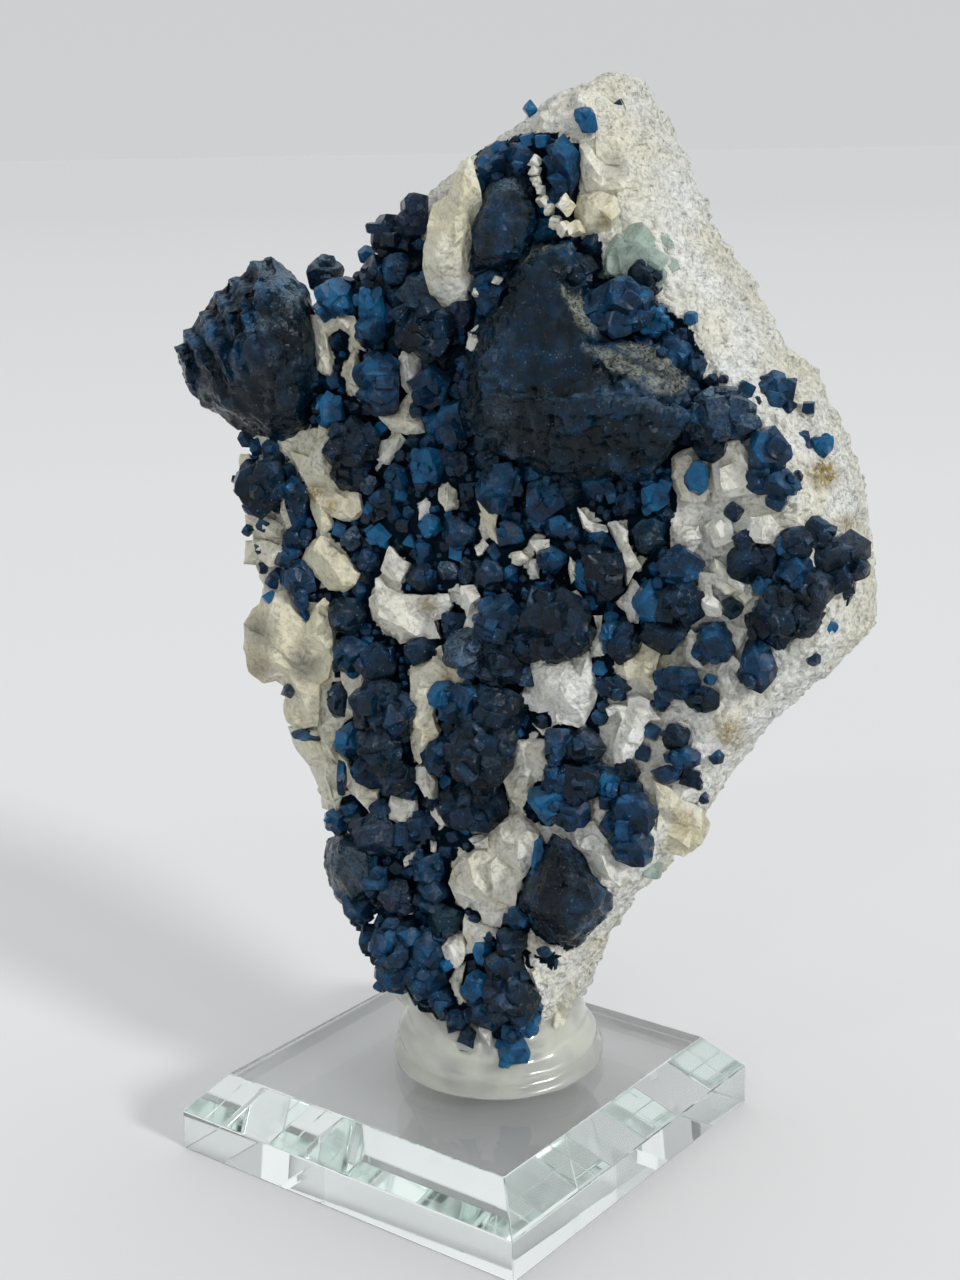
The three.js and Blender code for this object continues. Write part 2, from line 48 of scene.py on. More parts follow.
MM = 0.001

Place = tuple[float, float]
Outline = Sequence[Place]
Colour = tuple[float, float, float]


class Tone(Enum):
    """How a blue crystal looks: brightness, frost and hue, each from 0 to 1 (hue 0 purple, 1 teal)."""

    DARK = (0.12, 0.1, 0.5)
    MID = (0.42, 0.1, 0.5)
    BRIGHT = (0.85, 0.15, 0.5)
    FROSTED = (0.35, 0.85, 0.5)
    PURPLE = (0.2, 0.3, 0.05)
    TEAL = (0.3, 0.1, 0.95)


# Outline of the rock slab at its widest, clockwise from the summit, as (u, z) in millimetres.
ROCK_OUTLINE: Outline = [
    (14.6, 126), (17, 125), (19, 121.6), (22.6, 115), (27.2, 106.4), (32, 99.7), (37, 92.8), (39.9, 88.7),
    (42.3, 83.7), (43.8, 72.6), (44.4, 67.8), (42.8, 65.6), (39.5, 61.7), (35.8, 58.4), (31, 52.8),
    (26.7, 46.4), (22.8, 39.4), (17.2, 32.2), (13, 26.2), (10.8, 20), (7, 13.2), (-3, 12.6), (-8.4, 16.5),
    (-12.4, 21), (-13.8, 28), (-16.6, 33), (-18.6, 41), (-20.4, 47), (-23.6, 51), (-24, 54), (-26.6, 55.5),
    (-29, 58.5), (-29.4, 64), (-28.2, 68), (-29.6, 72), (-29.6, 80), (-27.6, 88), (-24.5, 97.6), (-16, 104.5),
    (-11, 108), (-4.5, 115), (1.1, 119), (5.2, 121.4), (9.6, 124.4),
]

# Where blue crystals crust the face, on the reading plane, as (u, z).
CRUST_REGION: Outline = [
    (5, 118), (9, 119.5), (12.5, 119.8), (16, 118.5), (16, 113.5), (18.5, 108), (21, 104.6), (26, 101.8),
    (29, 99.5), (29.6, 95.4), (31.5, 92.4), (29.5, 87), (26.6, 82.4), (25.6, 79), (26.4, 75), (25.8, 70),
    (25, 66), (21.8, 63.4), (18.6, 62), (18, 58), (17.6, 52), (13.6, 46), (11.2, 45), (12, 42), (14, 37),
    (15.2, 31.6), (12.6, 29.4), (11, 26), (10.8, 21), (9.8, 15.5), (3, 16.5), (-5, 20.5), (-9.4, 22),
    (-11, 27), (-13.4, 30), (-15.8, 36), (-15.6, 42.5), (-14, 45), (-13, 49), (-14.4, 53.5), (-14.6, 58),
    (-14, 61), (-14.6, 68), (-17.6, 69), (-18.6, 76), (-18, 84), (-17, 87), (-15.5, 99), (-15, 103),
    (-10, 105.5), (-8, 109), (-3, 113), (-1, 104.5), (3, 106), (4, 112),
]

# White and cream patches of the matrix that show between the blue crystals, on the reading plane:
# how cream each is, from 0 to 1, and its outline as (u, z).
WHITE_PATCHES: Sequence[tuple[float, Outline]] = [
    (0.6, [(16.2, 118.5), (18, 119.5), (20, 121), (22, 119.5), (22.5, 116), (21, 114.3), (17, 114), (16.3, 116)]),
    (0.9, [(15.6, 112), (16, 113.6), (18, 114.2), (20, 113.6), (20.6, 112), (19.6, 110.4), (16.5, 110.2)]),
    (0.4, [(-15.8, 101), (-13, 101.2), (-10.3, 101), (-9.5, 99.5), (-9.6, 98), (-10.6, 97.6), (-11, 99.3),
           (-12.5, 100), (-14.2, 99.2), (-13.8, 97), (-13.5, 96.3), (-13.8, 94.5), (-15.3, 95), (-15.5, 97)]),
    (0.5, [(-10.3, 97.3), (-12, 95.3), (-11.6, 93.3), (-10.2, 91.8), (-9.6, 93), (-9.8, 95.5)]),
    (0.3, [(-5, 96.6), (-3.6, 98.3), (-2.4, 97), (-2.8, 94.6), (-3.6, 92.6), (-4.8, 93.6)]),
    (0.4, [(-7.8, 90.2), (-6.5, 88.8), (-4, 88.5), (-2.2, 88.8), (-2.4, 90), (-3.8, 93), (-5.3, 91)]),
    (0.4, [(-7.5, 87.3), (-5, 88.3), (-4.5, 87.8), (-6.3, 86), (-6.8, 85), (-8.1, 85.3)]),
    (0.8, [(-15, 89.5), (-13.2, 88), (-13.7, 86), (-13.8, 83.5), (-12.8, 81.7), (-10.5, 81.5), (-10.2, 79.5),
           (-11.5, 78.5), (-13.2, 78.3), (-14.7, 79), (-14.3, 77.5), (-15.6, 76.3), (-16.7, 79.5),
           (-17.5, 82.5), (-19.2, 85.8), (-16.8, 85.2), (-15.8, 87)]),
    (0.9, [(-15.5, 76.3), (-14.2, 75.3), (-12.5, 74), (-11, 72.3), (-11.5, 71), (-13, 69.8), (-14.8, 70),
           (-16.5, 71.5), (-18.2, 73), (-17.5, 75)]),
    (0.2, [(-6.8, 75.6), (-5.8, 74.6), (-4.6, 74), (-5, 72.8), (-5.6, 71.6), (-6.8, 71.8), (-8, 72.8), (-7.6, 74)]),
    (0.9, [(-25.8, 85), (-24.6, 85.2), (-23.8, 83.2), (-24.6, 81.2), (-25.8, 82)]),
    (0.8, [(-20.4, 81.6), (-19.4, 81), (-19, 78), (-19.6, 76.2), (-20.8, 78.6)]),
    (0.8, [(-25.4, 78), (-23, 78.2), (-20.4, 77), (-20.8, 75.6), (-23, 75.4), (-25.6, 76)]),
    (0.7, [(-25.6, 75), (-23, 75.2), (-20.6, 74.6), (-20.4, 72.6), (-22.4, 72), (-24, 73), (-26, 72.2)]),
    (0.3, [(-0.6, 82.6), (0.6, 83.3), (1.7, 82.4), (1.6, 80.6), (0.2, 80.1), (-0.6, 81.2)]),
    (0.3, [(-2.4, 81.2), (-1.6, 81), (-1.9, 79), (-2.3, 77.8), (-3, 78.8), (-3, 80.4)]),
    (0.6, [(4, 81.5), (5.5, 80.6), (6.5, 80.3), (6.2, 78.8), (7, 77.4), (6.5, 76.8), (5.3, 77.5), (4.8, 79.5)]),
    (0.4, [(3.7, 76.2), (4.7, 77.3), (5.4, 76.6), (4.6, 75.6), (4, 75.4)]),
    (0.3, [(10.2, 77.4), (12.6, 77.8), (12.6, 76.6), (11, 76.2)]),
    (0.3, [(7.9, 75.9), (9.2, 76.3), (10.1, 75.4), (9, 74.6), (8, 74.8)]),
    (0.3, [(9.9, 75.3), (11.2, 75.4), (11.3, 73.4), (10.2, 73.2)]),
    (0.2, [(14.9, 76), (15.6, 75.4), (15.7, 73.8), (15.1, 73.2), (14.8, 74.6)]),
    (0.3, [(14.8, 72), (15.6, 72.4), (16.5, 71.6), (16, 70.6), (15, 70.8)]),
    (0.3, [(15.8, 81.5), (17, 80.2), (19, 79.7), (19.3, 79), (17.5, 78.7), (16.5, 79.5)]),
    (0.3, [(19.3, 80), (20.2, 80.2), (21.5, 79.3), (21.5, 78), (22.5, 76.5), (23, 75.5), (22.3, 75),
           (21.5, 73.5), (21.2, 75.5), (20.8, 77.3)]),
    (0.25, [(-8.7, 71.8), (-8.2, 72), (-7.3, 71), (-5.2, 70.3), (-1, 70.5), (0.3, 70.8), (0.8, 69.5),
            (-0.3, 68), (-1.5, 67.5), (-1.2, 66.5), (-0.7, 65.5), (-2.5, 65.5), (-4.5, 65), (-5.8, 64.5),
            (-6.5, 65), (-7.7, 65.5), (-9, 67), (-9.8, 68.5), (-9.6, 69.5), (-8.8, 70.3)]),
    (0.7, [(-4.5, 62), (-3.8, 62.8), (-2.5, 63), (-1.8, 64), (-0.7, 64.8), (-0.4, 63.5), (1, 63.2), (2.3, 62.5),
           (2.4, 61.3), (1.8, 60.5), (0.5, 60.2), (-0.8, 59.5), (-1.4, 58), (-2, 56.5), (-1.7, 55.3),
           (-1.2, 54.5), (-1.5, 53.5), (-2.3, 53), (-3, 51.5), (-3.7, 50.5), (-4.4, 51), (-4.8, 52.5),
           (-5, 55), (-4.9, 58), (-4.6, 60.5)]),
    (0.4, [(-4.3, 50), (-2.8, 50.3), (-1.8, 48.5), (-1.5, 46), (-1.5, 44.5), (-0.3, 44.7), (0, 44),
           (-1, 43.3), (-2.3, 44.5), (-2.8, 46), (-4, 48), (-4.9, 48.5)]),
    (0.3, [(-8, 44.8), (-7.3, 46.5), (-6.2, 46), (-4.5, 46), (-4.2, 44.8), (-5, 43.5), (-6.8, 42.8), (-8, 43.3)]),
    (0.6, [(-13.7, 61.2), (-12.6, 60), (-11.4, 59.9), (-10.6, 61), (-10.1, 63.2), (-9.6, 63.4), (-9.9, 60.6),
           (-10.8, 58.6), (-11.5, 56), (-13.5, 54.3), (-14.7, 52.3), (-14.4, 50.6), (-13.3, 49.6),
           (-12.5, 47.6), (-10.5, 46.8), (-9.1, 46.8), (-9.2, 45.3), (-10.4, 43.7), (-12, 45.3),
           (-13.4, 46.6), (-14.3, 49), (-16.3, 50.5), (-17.2, 53), (-15.9, 54.3), (-14.3, 55.5),
           (-13, 57.8), (-13.6, 59.3)]),
    (0.95, [(-24.5, 67.5), (-22, 69.3), (-20.5, 69.5), (-19.5, 67), (-18, 65.8), (-16.5, 68), (-15.5, 69),
            (-14.6, 66.5), (-14.5, 62), (-15.3, 59.5), (-16.5, 58.5), (-16.6, 55.5), (-17, 53.5),
            (-20, 52.8), (-21.3, 53.8), (-21.4, 55.8), (-20.9, 57.8), (-22.5, 58.5), (-24.3, 58),
            (-26, 59.2), (-26.6, 62), (-26.3, 65)]),
    (0.7, [(-21, 53), (-17, 53), (-16, 50), (-14.5, 49), (-14, 45), (-14.8, 43), (-16.8, 43.5), (-17, 45.5),
           (-18.3, 48.5), (-20.3, 50.8)]),
    (0.3, [(1.9, 71.8), (3.6, 72), (4.2, 70.8), (3.9, 69.3), (4.3, 67.6), (3.6, 66), (2.8, 65.4), (2, 66.8),
           (2.6, 68.3), (1.9, 69.8)]),
    (0.15, [(10.7, 66), (11.5, 66.5), (12, 65), (13, 64.6), (15, 64.7), (16.3, 65.8), (17, 66.5), (17.5, 64.5),
            (17.8, 62.5), (18, 61), (17.7, 59.9), (17.2, 58.8), (16.5, 57.5), (17.3, 57), (18, 56.5),
            (17.5, 56.2), (16, 57), (14, 57.3), (13, 57), (12.5, 56.5), (12.3, 58.5), (11, 58.2),
            (10, 58.3), (9.3, 59), (8.9, 60.2), (9.5, 61), (10.3, 61.2), (10.2, 63), (10.3, 64.5)]),
    (0.3, [(10.4, 68.6), (11.1, 68.4), (11.2, 66.8), (10.5, 66.6)]),
    (0.3, [(17.6, 69.8), (18.6, 69.9), (18.5, 68.2), (19.2, 66.4), (18.8, 65.4), (17.3, 65.3), (17.4, 67),
           (17.9, 68.4)]),
    (0.2, [(20.2, 71.5), (21.2, 72.5), (22, 74.2), (23.5, 72.5), (23.8, 71), (23, 70.2), (22.7, 69.3),
           (21.7, 69.3), (21.3, 70.5), (20.5, 71)]),
    (0.8, [(21, 65.8), (22, 66.8), (23.2, 67.8), (24, 67), (25.5, 66.8), (25, 65.5), (24.5, 64), (24.8, 63),
           (25, 62.3), (24.2, 61.7), (23.3, 62.5), (22.5, 63.5), (21.5, 62.8), (20.2, 63.5), (20, 65),
           (20.8, 65.3)]),
    (0.1, [(21.7, 61), (23, 61.3), (24, 61), (24.5, 60), (25.2, 59), (24, 58.8), (23.3, 58), (23.5, 57),
           (23, 56), (22.5, 55.2), (22, 54), (21, 53.2), (20, 53), (19.8, 54), (20, 56), (20.5, 57.5),
           (21, 58.5), (20.3, 59.5), (19.3, 58.7), (19, 59.5), (20, 60), (21.5, 60)]),
    (0.3, [(29.2, 75.5), (32, 75.5), (33.5, 73.8), (32.8, 73.3), (31.5, 74), (30.7, 74.2), (31, 73),
           (32.2, 71.8), (31.7, 70.8), (30.3, 70.8), (29, 71.8), (28.8, 73.3), (29.3, 74.2)]),
    (0.3, [(33, 74), (34.8, 74.5), (35.2, 73.5), (36.5, 73.2), (35.5, 72), (35.2, 71), (34.7, 71), (33.8, 72),
           (33.2, 73)]),
    (0.2, [(28.5, 69.3), (29, 68.8), (29.8, 69), (29.5, 68), (28.8, 67.5), (29, 66), (30, 65.2), (29.2, 65),
           (28, 66), (27.8, 67.5), (28, 68.5)]),
    (0.3, [(33.6, 70), (34.8, 69.8), (34.5, 68.8), (33.7, 67.5), (33, 67.2), (32.7, 68), (33.3, 69)]),
    (0.3, [(33, 67), (34, 66), (33.8, 64.5), (33.5, 63), (33.8, 62.7), (32.8, 62.7), (31.8, 63.8), (31.5, 65),
           (32, 66)]),
    (0.5, [(8.2, 54.5), (9.5, 54.7), (10, 55), (12.3, 55.2), (12, 53.5), (12.2, 52), (11.8, 51), (11.2, 50.2),
           (10.5, 50), (9.7, 48), (8.8, 46.8), (7.8, 47.5), (6.5, 50), (6.8, 51), (7.7, 52), (8, 53.5)]),
    (0.3, [(18, 52), (17.9, 50), (18.2, 49), (19.5, 47.8), (19, 46.5), (18.5, 46), (17.7, 47), (17.3, 48),
           (17.8, 49.5)]),
    (0.3, [(10.3, 56.8), (11.5, 56), (12.5, 56.5), (11.5, 55.5)]),
    (0.4, [(5, 44), (7, 46), (9, 46.5), (11, 44), (10.5, 41.5), (10, 40), (9, 38.5), (8.7, 38), (8.2, 36.5),
           (8, 35), (7, 34), (6.5, 32.8), (6, 32), (5, 32), (3.8, 32.2), (3.5, 33.5), (2.5, 34.5),
           (1.5, 33.5), (0.5, 34.5), (-0.5, 36.5), (0, 38), (1.5, 40), (3, 40.8), (4.5, 41), (4.8, 42.5)]),
    (0.3, [(2.2, 42.2), (3.8, 43), (4.7, 43), (4.7, 41.5), (3.5, 41.5), (2.8, 41.7)]),
    (0.2, [(15, 45.5), (17.5, 46.5), (19, 44.5), (19.6, 43), (20.5, 41.5), (22, 40.5), (20, 37.8), (18, 39.3),
           (17, 40.8), (16.3, 42.7), (14.8, 43.2)]),
    (0.85, [(24.5, 52), (26.5, 51.3), (28.5, 50.2), (30, 49.5), (31, 48), (30, 45.5), (28, 43.8), (25.5, 44),
            (24.9, 46), (25, 49)]),
    (0.2, [(-1.8, 27.2), (-1.5, 28.5), (-0.8, 29.3), (0, 29.3), (1.2, 29.5), (1.5, 28), (1.2, 27), (0.3, 26),
           (-0.5, 26.3)]),
    (0.3, [(0.3, 25.8), (1.3, 26), (1, 24.5), (0.6, 23), (1.5, 21.8), (0, 22.5), (-0.6, 24.3)]),
    (0.3, [(1.2, 30.5), (1.5, 32.5), (3, 31.5), (5, 31.5), (6, 31), (6.8, 30), (5.8, 30), (5.2, 30.8),
           (4.3, 30.5), (3.8, 29.3), (2.8, 28.5), (1.5, 28), (1.8, 29.5)]),
    (0.3, [(8.2, 31), (9, 31.4), (10.2, 32.2), (11, 31.5), (12, 30.8), (13, 30.8), (12.5, 30), (11, 29.3),
           (10.2, 29.5), (9, 30)]),
    (0.4, [(9, 28.8), (10.5, 28), (12, 27.5), (14, 26.5), (15.3, 26), (15, 24), (14, 22), (13, 19.5), (12, 18),
           (11.7, 20), (12, 22), (11.5, 24), (10.5, 25.5), (9, 27.3)]),
    (0.2, [(3, 19), (4.7, 19.2), (4.8, 16.3), (3.8, 16.2)]),
    (0.3, [(26.5, 87.5), (28.5, 88.6), (30, 87.5), (30.3, 85.2), (30, 83), (28.5, 82.6), (27.5, 83.3),
           (26.5, 85.5)]),
    (0.3, [(30.5, 89), (33.5, 89.4), (34.5, 88), (35, 86), (35, 84), (32.5, 83.4), (31, 84), (30.6, 86.5)]),
    (0.4, [(38.6, 91.6), (40, 91.8), (40.6, 90), (40.2, 88), (39.2, 87.2), (38.3, 88.8)]),
    (0.3, [(26.3, 79.8), (27.5, 80.3), (29.2, 80.3), (29.8, 79), (28.5, 77), (27, 77.4)]),
    (0.3, [(30, 80.5), (31.8, 82), (32.5, 81.5), (33, 80.3), (33, 79), (31, 78)]),
    (0.1, [(34.8, 81.6), (36.8, 81.9), (38, 80.6), (37.2, 79), (35.4, 79), (34.4, 80)]),
    (0.3, [(31, 77), (32.5, 76), (34.5, 74.8), (34.5, 73.3), (32.5, 74.6), (30.6, 75.8)]),
    (0.2, [(34.4, 92.3), (35.6, 92.4), (35.6, 91.2), (34.6, 91.2)]),
    (0.2, [(3.3, 99.5), (4.6, 100.4), (5.2, 98.6), (4.6, 96.8), (3.6, 97)]),
    (0.3, [(-9.7, 41), (-8.9, 41.2), (-8.7, 39), (-9.5, 38.8)]),
    (0.3, [(-4.3, 40.3), (-5.2, 39.8), (-6.2, 38.5), (-6, 37.8), (-5.2, 38.3), (-4.4, 39.5)]),
    (0.3, [(-4.4, 36.2), (-3.3, 36.2), (-3.2, 35.4), (-4.2, 35.2)]),
    (0.3, [(-6, 33.6), (-5.3, 33.6), (-5.2, 31.8), (-5.9, 31.8)]),
    (0.3, [(-3, 32.2), (-2.3, 32.2), (-2.3, 30), (-3, 30)]),
    (0.3, [(-2.6, 41.4), (-1.9, 41.2), (-1.9, 40.1), (-2.6, 40.1)]),
    (0.4, [(-7.4, 22), (-6.2, 22), (-5.4, 20.4), (-6.6, 20), (-7.6, 20.8)]),
]

# The tall cream blade at the top left, on the reading plane.
CREAM_BLADE: Outline = [
    (4, 117.8), (5.2, 114), (3.6, 112), (3.8, 110.5), (3, 108), (2.4, 106.5), (0.6, 105.6), (-0.8, 105.2),
    (-1.9, 106.2), (-1.7, 108), (-1.2, 110.5), (-0.5, 112.8), (1.2, 113.8), (2.2, 116), (3.2, 117.6),
]

# Small white beads that hang in a chain near the summit, on the reading plane: place and radius.
BEADS: Sequence[tuple[float, float, float]] = [
    (11.3, 117, 0.75), (11.3, 116.1, 0.75), (11.4, 115.1, 0.75), (11.9, 114.2, 0.75), (12.1, 113.1, 0.75),
    (12.8, 112.2, 0.75), (14.7, 112.7, 1.2), (13.5, 111, 0.8), (14.5, 110.3, 1), (15.8, 110.3, 1),
    (6.8, 105, 0.6), (4.5, 103.8, 0.6), (4.2, 98.4, 1.1),
]

# Stains on the matrix, on the reading plane: place, radius and strength.
BROWN_SPOTS: Sequence[tuple[float, float, float, float]] = [
    (42.3, 86.5, 1.4, 1.4), (-2.3, 69.3, 1.0, 1.0), (0, 61.3, 0.8, 1.0), (-0.8, 59.8, 0.7, 1.1),
    (-1.8, 58.2, 0.6, 0.9), (-16, 81, 1.1, 1.2), (-14.2, 79.8, 0.8, 1.0), (-25.5, 60, 2.0, 0.8),
    (33, 58.5, 1.6, 0.9), (27.8, 48, 1.4, 0.8), (18.8, 111.2, 0.8, 0.9), (45, 81.5, 1.0, 0.8),
]
SMOKE_SPOTS: Sequence[tuple[float, float, float, float]] = [
    (-24, 64.4, 1.9, 1.0), (-18.6, 61, 2.0, 1.2), (-24.2, 60, 1.4, 0.7), (20, 116.5, 1.3, 0.7),
    (-2.3, 69.3, 1.3, 0.6), (-9.5, 79.5, 0.9, 0.5), (21.3, 40, 0.5, 0.9), (29.3, 97.2, 1.2, 0.25),
]

# Flat breaks across the slab's back: a point and the outward direction, as (u, n, z).
BACK_BREAKS: Sequence[tuple[tuple[float, float, float], tuple[float, float, float]]] = [
    ((0, -5.5, 12), (0, -1, -0.14)),
    ((30, -11, 95), (0.62, -1, 0.35)),
    ((-22, -11, 80), (-0.75, -1, 0.1)),
    ((10, -11, 112), (-0.25, -1, 0.5)),
    ((38, -10, 60), (0.8, -1, -0.45)),
]

# The blue crystals that stand out, on the reading plane, as (u, z, half width, half height); the
# height is left out where it equals the width.
NAMED_CRYSTALS: dict[Tone, Sequence[tuple[float, ...]]] = {
    Tone.DARK: [
        (-1.5, 100, 3.9), (-11, 87, 3.3), (-11.3, 83.5, 2.3), (-22.4, 82, 3.4, 4), (30.5, 88.7, 2),
        (43, 77.5, 4.4), (34.4, 77, 2.3), (38.6, 72.6, 3.2), (41.4, 74.4, 2.6), (39.5, 79.2, 2), (36.8, 77.2, 2),
        (36.4, 70.6, 2.2), (34.6, 79, 1.6), (38.2, 69.6, 1.8), (41.6, 80.4, 2.2), (44.6, 74.6, 1.6),
        (40.6, 71, 1.8), (19, 75, 3), (27.5, 72, 3), (33, 82, 1.2),
        (-12.3, 67.4, 2.6), (-20.6, 57.4, 1), (-9, 57, 3.5), (-6.5, 56, 3.2), (-8.5, 52.2, 3.5),
        (-6.5, 48.7, 2.6), (-2.5, 46, 1.1), (10.5, 66, 2.2), (13.5, 68.8, 4.5, 4.4), (21, 67.2, 2.2, 2.6),
        (20.5, 62, 1.5), (-3, 64, 2.3), (7, 63.5, 3.2), (6.5, 58, 3.5), (4.5, 53, 4.6), (3, 46.5, 4.4, 3.4),
        (11.5, 57.3, 1), (16.5, 55, 2.6), (16.3, 51, 2.9), (21.5, 53, 1.7), (25.7, 68.3, 2.8, 2.3),
        (29.8, 61.7, 2, 1.5), (27, 57.3, 1.7), (28.7, 52.8, 1.6), (7.5, 30.5, 2.2), (6.8, 27, 2.9),
        (7, 23.5, 3.4), (11.1, 21, 1.5), (1.6, 17.4, 1.5, 2), (-13.8, 57, 1.5, 2.6), (-8.6, 62, 2.8),
        (-7.6, 105.6, 2), (-5.8, 109.6, 2.6),
    ],
    Tone.MID: [
        (7, 117, 2.3), (9.5, 117.2, 1.9), (14.7, 116.5, 2.2, 3.2), (-5, 106, 2.1), (-8, 99.3, 2.3),
        (-7, 93.8, 3.1, 3.6), (-1.3, 93.8, 2.7), (-2.9, 91, 1.1), (7, 83, 3), (12, 82.2, 2.6),
        (-18.3, 80, 1.5, 3.5), (-18.5, 76, 1.9), (-21.5, 71.3, 1), (-19.3, 74.3, 1.4), (-18.6, 70.8, 2.4),
        (1.8, 77.8, 2), (8, 78, 1.8), (12.8, 75.5, 1.8), (18.3, 78.2, 1.4), (37.2, 94, 2.9, 2.7),
        (40.5, 93, 0.9), (35.5, 85.6, 1.8), (39.6, 89.6, 1.6), (33.4, 91, 1.3), (36.3, 88.3, 2.4, 3.1),
        (38, 85, 2), (37.5, 83.3, 1.3), (39.5, 86, 0.8),
        (39.4, 76.4, 2.2), (33.5, 75.8, 1.2), (31, 68, 2.6), (35.7, 66.2, 2.3, 3.2), (27, 63.5, 2.9, 2.2),
        (25.3, 61.2, 1.3), (24.3, 57.5, 1.2), (23.3, 55, 1.2), (27.8, 55.2, 2.2, 1.5), (26, 53, 1.9, 1.1),
        (31.5, 55.6, 1.1), (30.2, 50.8, 0.8), (1, 67.7, 1.8), (7, 68.5, 3.2), (18.3, 58.5, 1.1),
        (18.8, 59.9, 0.9), (19, 62, 1.4), (12.2, 61.5, 0.8, 0.6), (2.8, 58.2, 3.3), (-1.3, 52, 2.6),
        (8, 60, 0.9), (13.5, 54.5, 2.4), (13.2, 50.8, 2.3), (15.2, 47.4, 2.5), (19.2, 49.2, 1.4),
        (22, 50.4, 1.8), (22, 47.8, 3), (22.2, 44.6, 2.8), (20, 46.5, 1.8), (-12, 63, 2.5),
        (-18.5, 52.2, 2.2, 0.7), (-14, 47.5, 0.6, 2.4), (-10, 49, 2.5), (-8, 46.7, 0.9), (-9, 44.3, 1.6),
        (-5, 47, 1.3), (-14.8, 42.2, 1.9), (-6, 41.3, 2.1), (-3.8, 43, 2.1), (-9.5, 35.5, 2.3),
        (-12.3, 32, 2.6), (-5.8, 37, 0.9), (-3, 38, 2.6), (-2.5, 35, 2.5), (-10.5, 28, 2.2), (-7, 27.8, 3.5),
        (-3.3, 28, 3), (-7.7, 23.8, 2.8), (-4, 24.5, 3), (-1.8, 22, 1.8), (8.2, 33.8, 1.7), (2.8, 32.5, 0.9),
        (4.5, 30.7, 0.8), (3.8, 21, 2.2), (11.5, 30, 1.1, 0.8), (12.8, 29, 0.5, 1.2), (24, 69.8, 1.3),
        (27.5, 76, 2.6), (41.7, 67.3, 0.9), (20.5, 102.5, 4.4, 3.1), (-24.6, 79, 1.2), (-23, 77, 1),
        (-21, 79.4, 1.2), (-24.6, 83.2, 1.3), (-20.6, 73, 1.2), (-23.6, 74.2, 0.9), (-22.2, 70.4, 1),
        (-24.8, 86.8, 1.2), (-21.4, 85.8, 1.5), (-19.4, 83.4, 1.1), (-25.2, 76.2, 0.8),
    ],
    Tone.BRIGHT: [
        (-8.5, 107.5, 1.2), (10.5, 119.2, 1), (12.2, 119, 1), (10.8, 122.2, 0.9), (-12.5, 102.5, 2.7),
        (-8, 102.5, 2.1), (-13.5, 90.5, 2.1), (-2, 85, 2.3), (24.2, 101.3, 2), (28.2, 101.5, 0.9),
        (24.6, 83.4, 1.9), (16.5, 74, 1.5, 2.2), (28.9, 85.3, 1.5, 2), (42, 89.3, 1.4), (38.7, 78.8, 1.4),
        (36.4, 74.6, 1.5), (36.8, 72, 1.8), (24, 72, 2.5), (-12, 61, 1.3), (-12, 52.5, 2.4),
        (-1.8, 78.2, 1.5), (19.8, 67.5, 1.5, 2.5), (18.3, 64, 1.1), (-0.5, 59, 2.3), (12.3, 48.2, 2.6),
        (19.5, 51.5, 1.9), (11, 41.2, 1.1, 2.8), (3.8, 28.8, 1.3, 2.3), (3.2, 24.3, 2.3), (9, 21, 2),
        (7.3, 17, 2.4), (-3.2, 104.8, 1.2), (17, 121, 1.5), (18.6, 121.3, 1.2), (30.7, 64, 0.8),
        (-1, 26.3, 1), (43.2, 70.8, 1.1, 0.9), (-22.4, 68.4, 1.4, 1), (-18.3, 68.5, 1.2, 1.7), (-18.2, 66.6, 0.8),
    ],
    Tone.FROSTED: [
        (-13.7, 105.4, 2.3), (-2, 103.5, 2.5), (-9, 82.5, 1.3), (-11.5, 76.2, 1.5), (9.5, 62.5, 1.6),
        (3, 64.5, 3.3), (-5.8, 34.3, 1), (31.5, 91.7, 4.4, 2.9), (12.3, 64.5, 0.6),
    ],
    Tone.PURPLE: [
        (-2.6, 111.6, 2, 2.9), (20.4, 122, 1, 1.3), (19, 121.6, 0.8), (-23.4, 71.9, 0.8),
        (-14, 61, 0.9), (-9.5, 41.5, 3), (-7, 34, 2.6),
    ],
    Tone.TEAL: [(-12, 42, 1.8), (-1, 31.8, 2.3), (33, 72, 1.4)],
}


@dataclass(frozen=True)
class SlabFrame:
    """The slab's own frame: u across the crystal face, z up and n out of the face, in millimetres."""

    centre: Place = (2.9, 2.2)
    turn: float = math.radians(12.5)
    eye: tuple[float, float, float] = (91.0, 198.0, 118.6)
    read_n: float = 12.0

    def along_sight(self, u: np.ndarray, z: np.ndarray, n: np.ndarray) -> tuple[np.ndarray, np.ndarray]:
        """Slides places on the reading plane along the line of sight.

        Args:
            u: Places across the face on the reading plane.
            z: Heights on the reading plane.
            n: The depths to slide to.

        Returns:
            The places across and up at those depths.
        """
        eye_u, eye_n, eye_z = self.eye
        reach = (eye_n - n) / (eye_n - self.read_n)
        return eye_u + (u - eye_u) * reach, eye_z + (z - eye_z) * reach

    def to_reading(self, points: np.ndarray) -> np.ndarray:
        """Finds where points of a slab mesh show on the reading plane.

        Args:
            points: Vertices as rows of (u, -n, z).

        Returns:
            Rows of (u, z) on the reading plane.
        """
        eye_u, eye_n, eye_z = self.eye
        reach = (eye_n + points[:, 1]) / (eye_n - self.read_n)
        return np.column_stack((eye_u + (points[:, 0] - eye_u) / reach, eye_z + (points[:, 2] - eye_z) / reach))

    def to_row(self) -> Matrix:
        """The matrix from (u, -n, z) in millimetres to the row frame in metres."""
        place = Matrix.Translation((self.centre[0], self.centre[1], 0.0))
        return Matrix.Scale(MM, 4) @ place @ Matrix.Rotation(self.turn, 4, "Z")


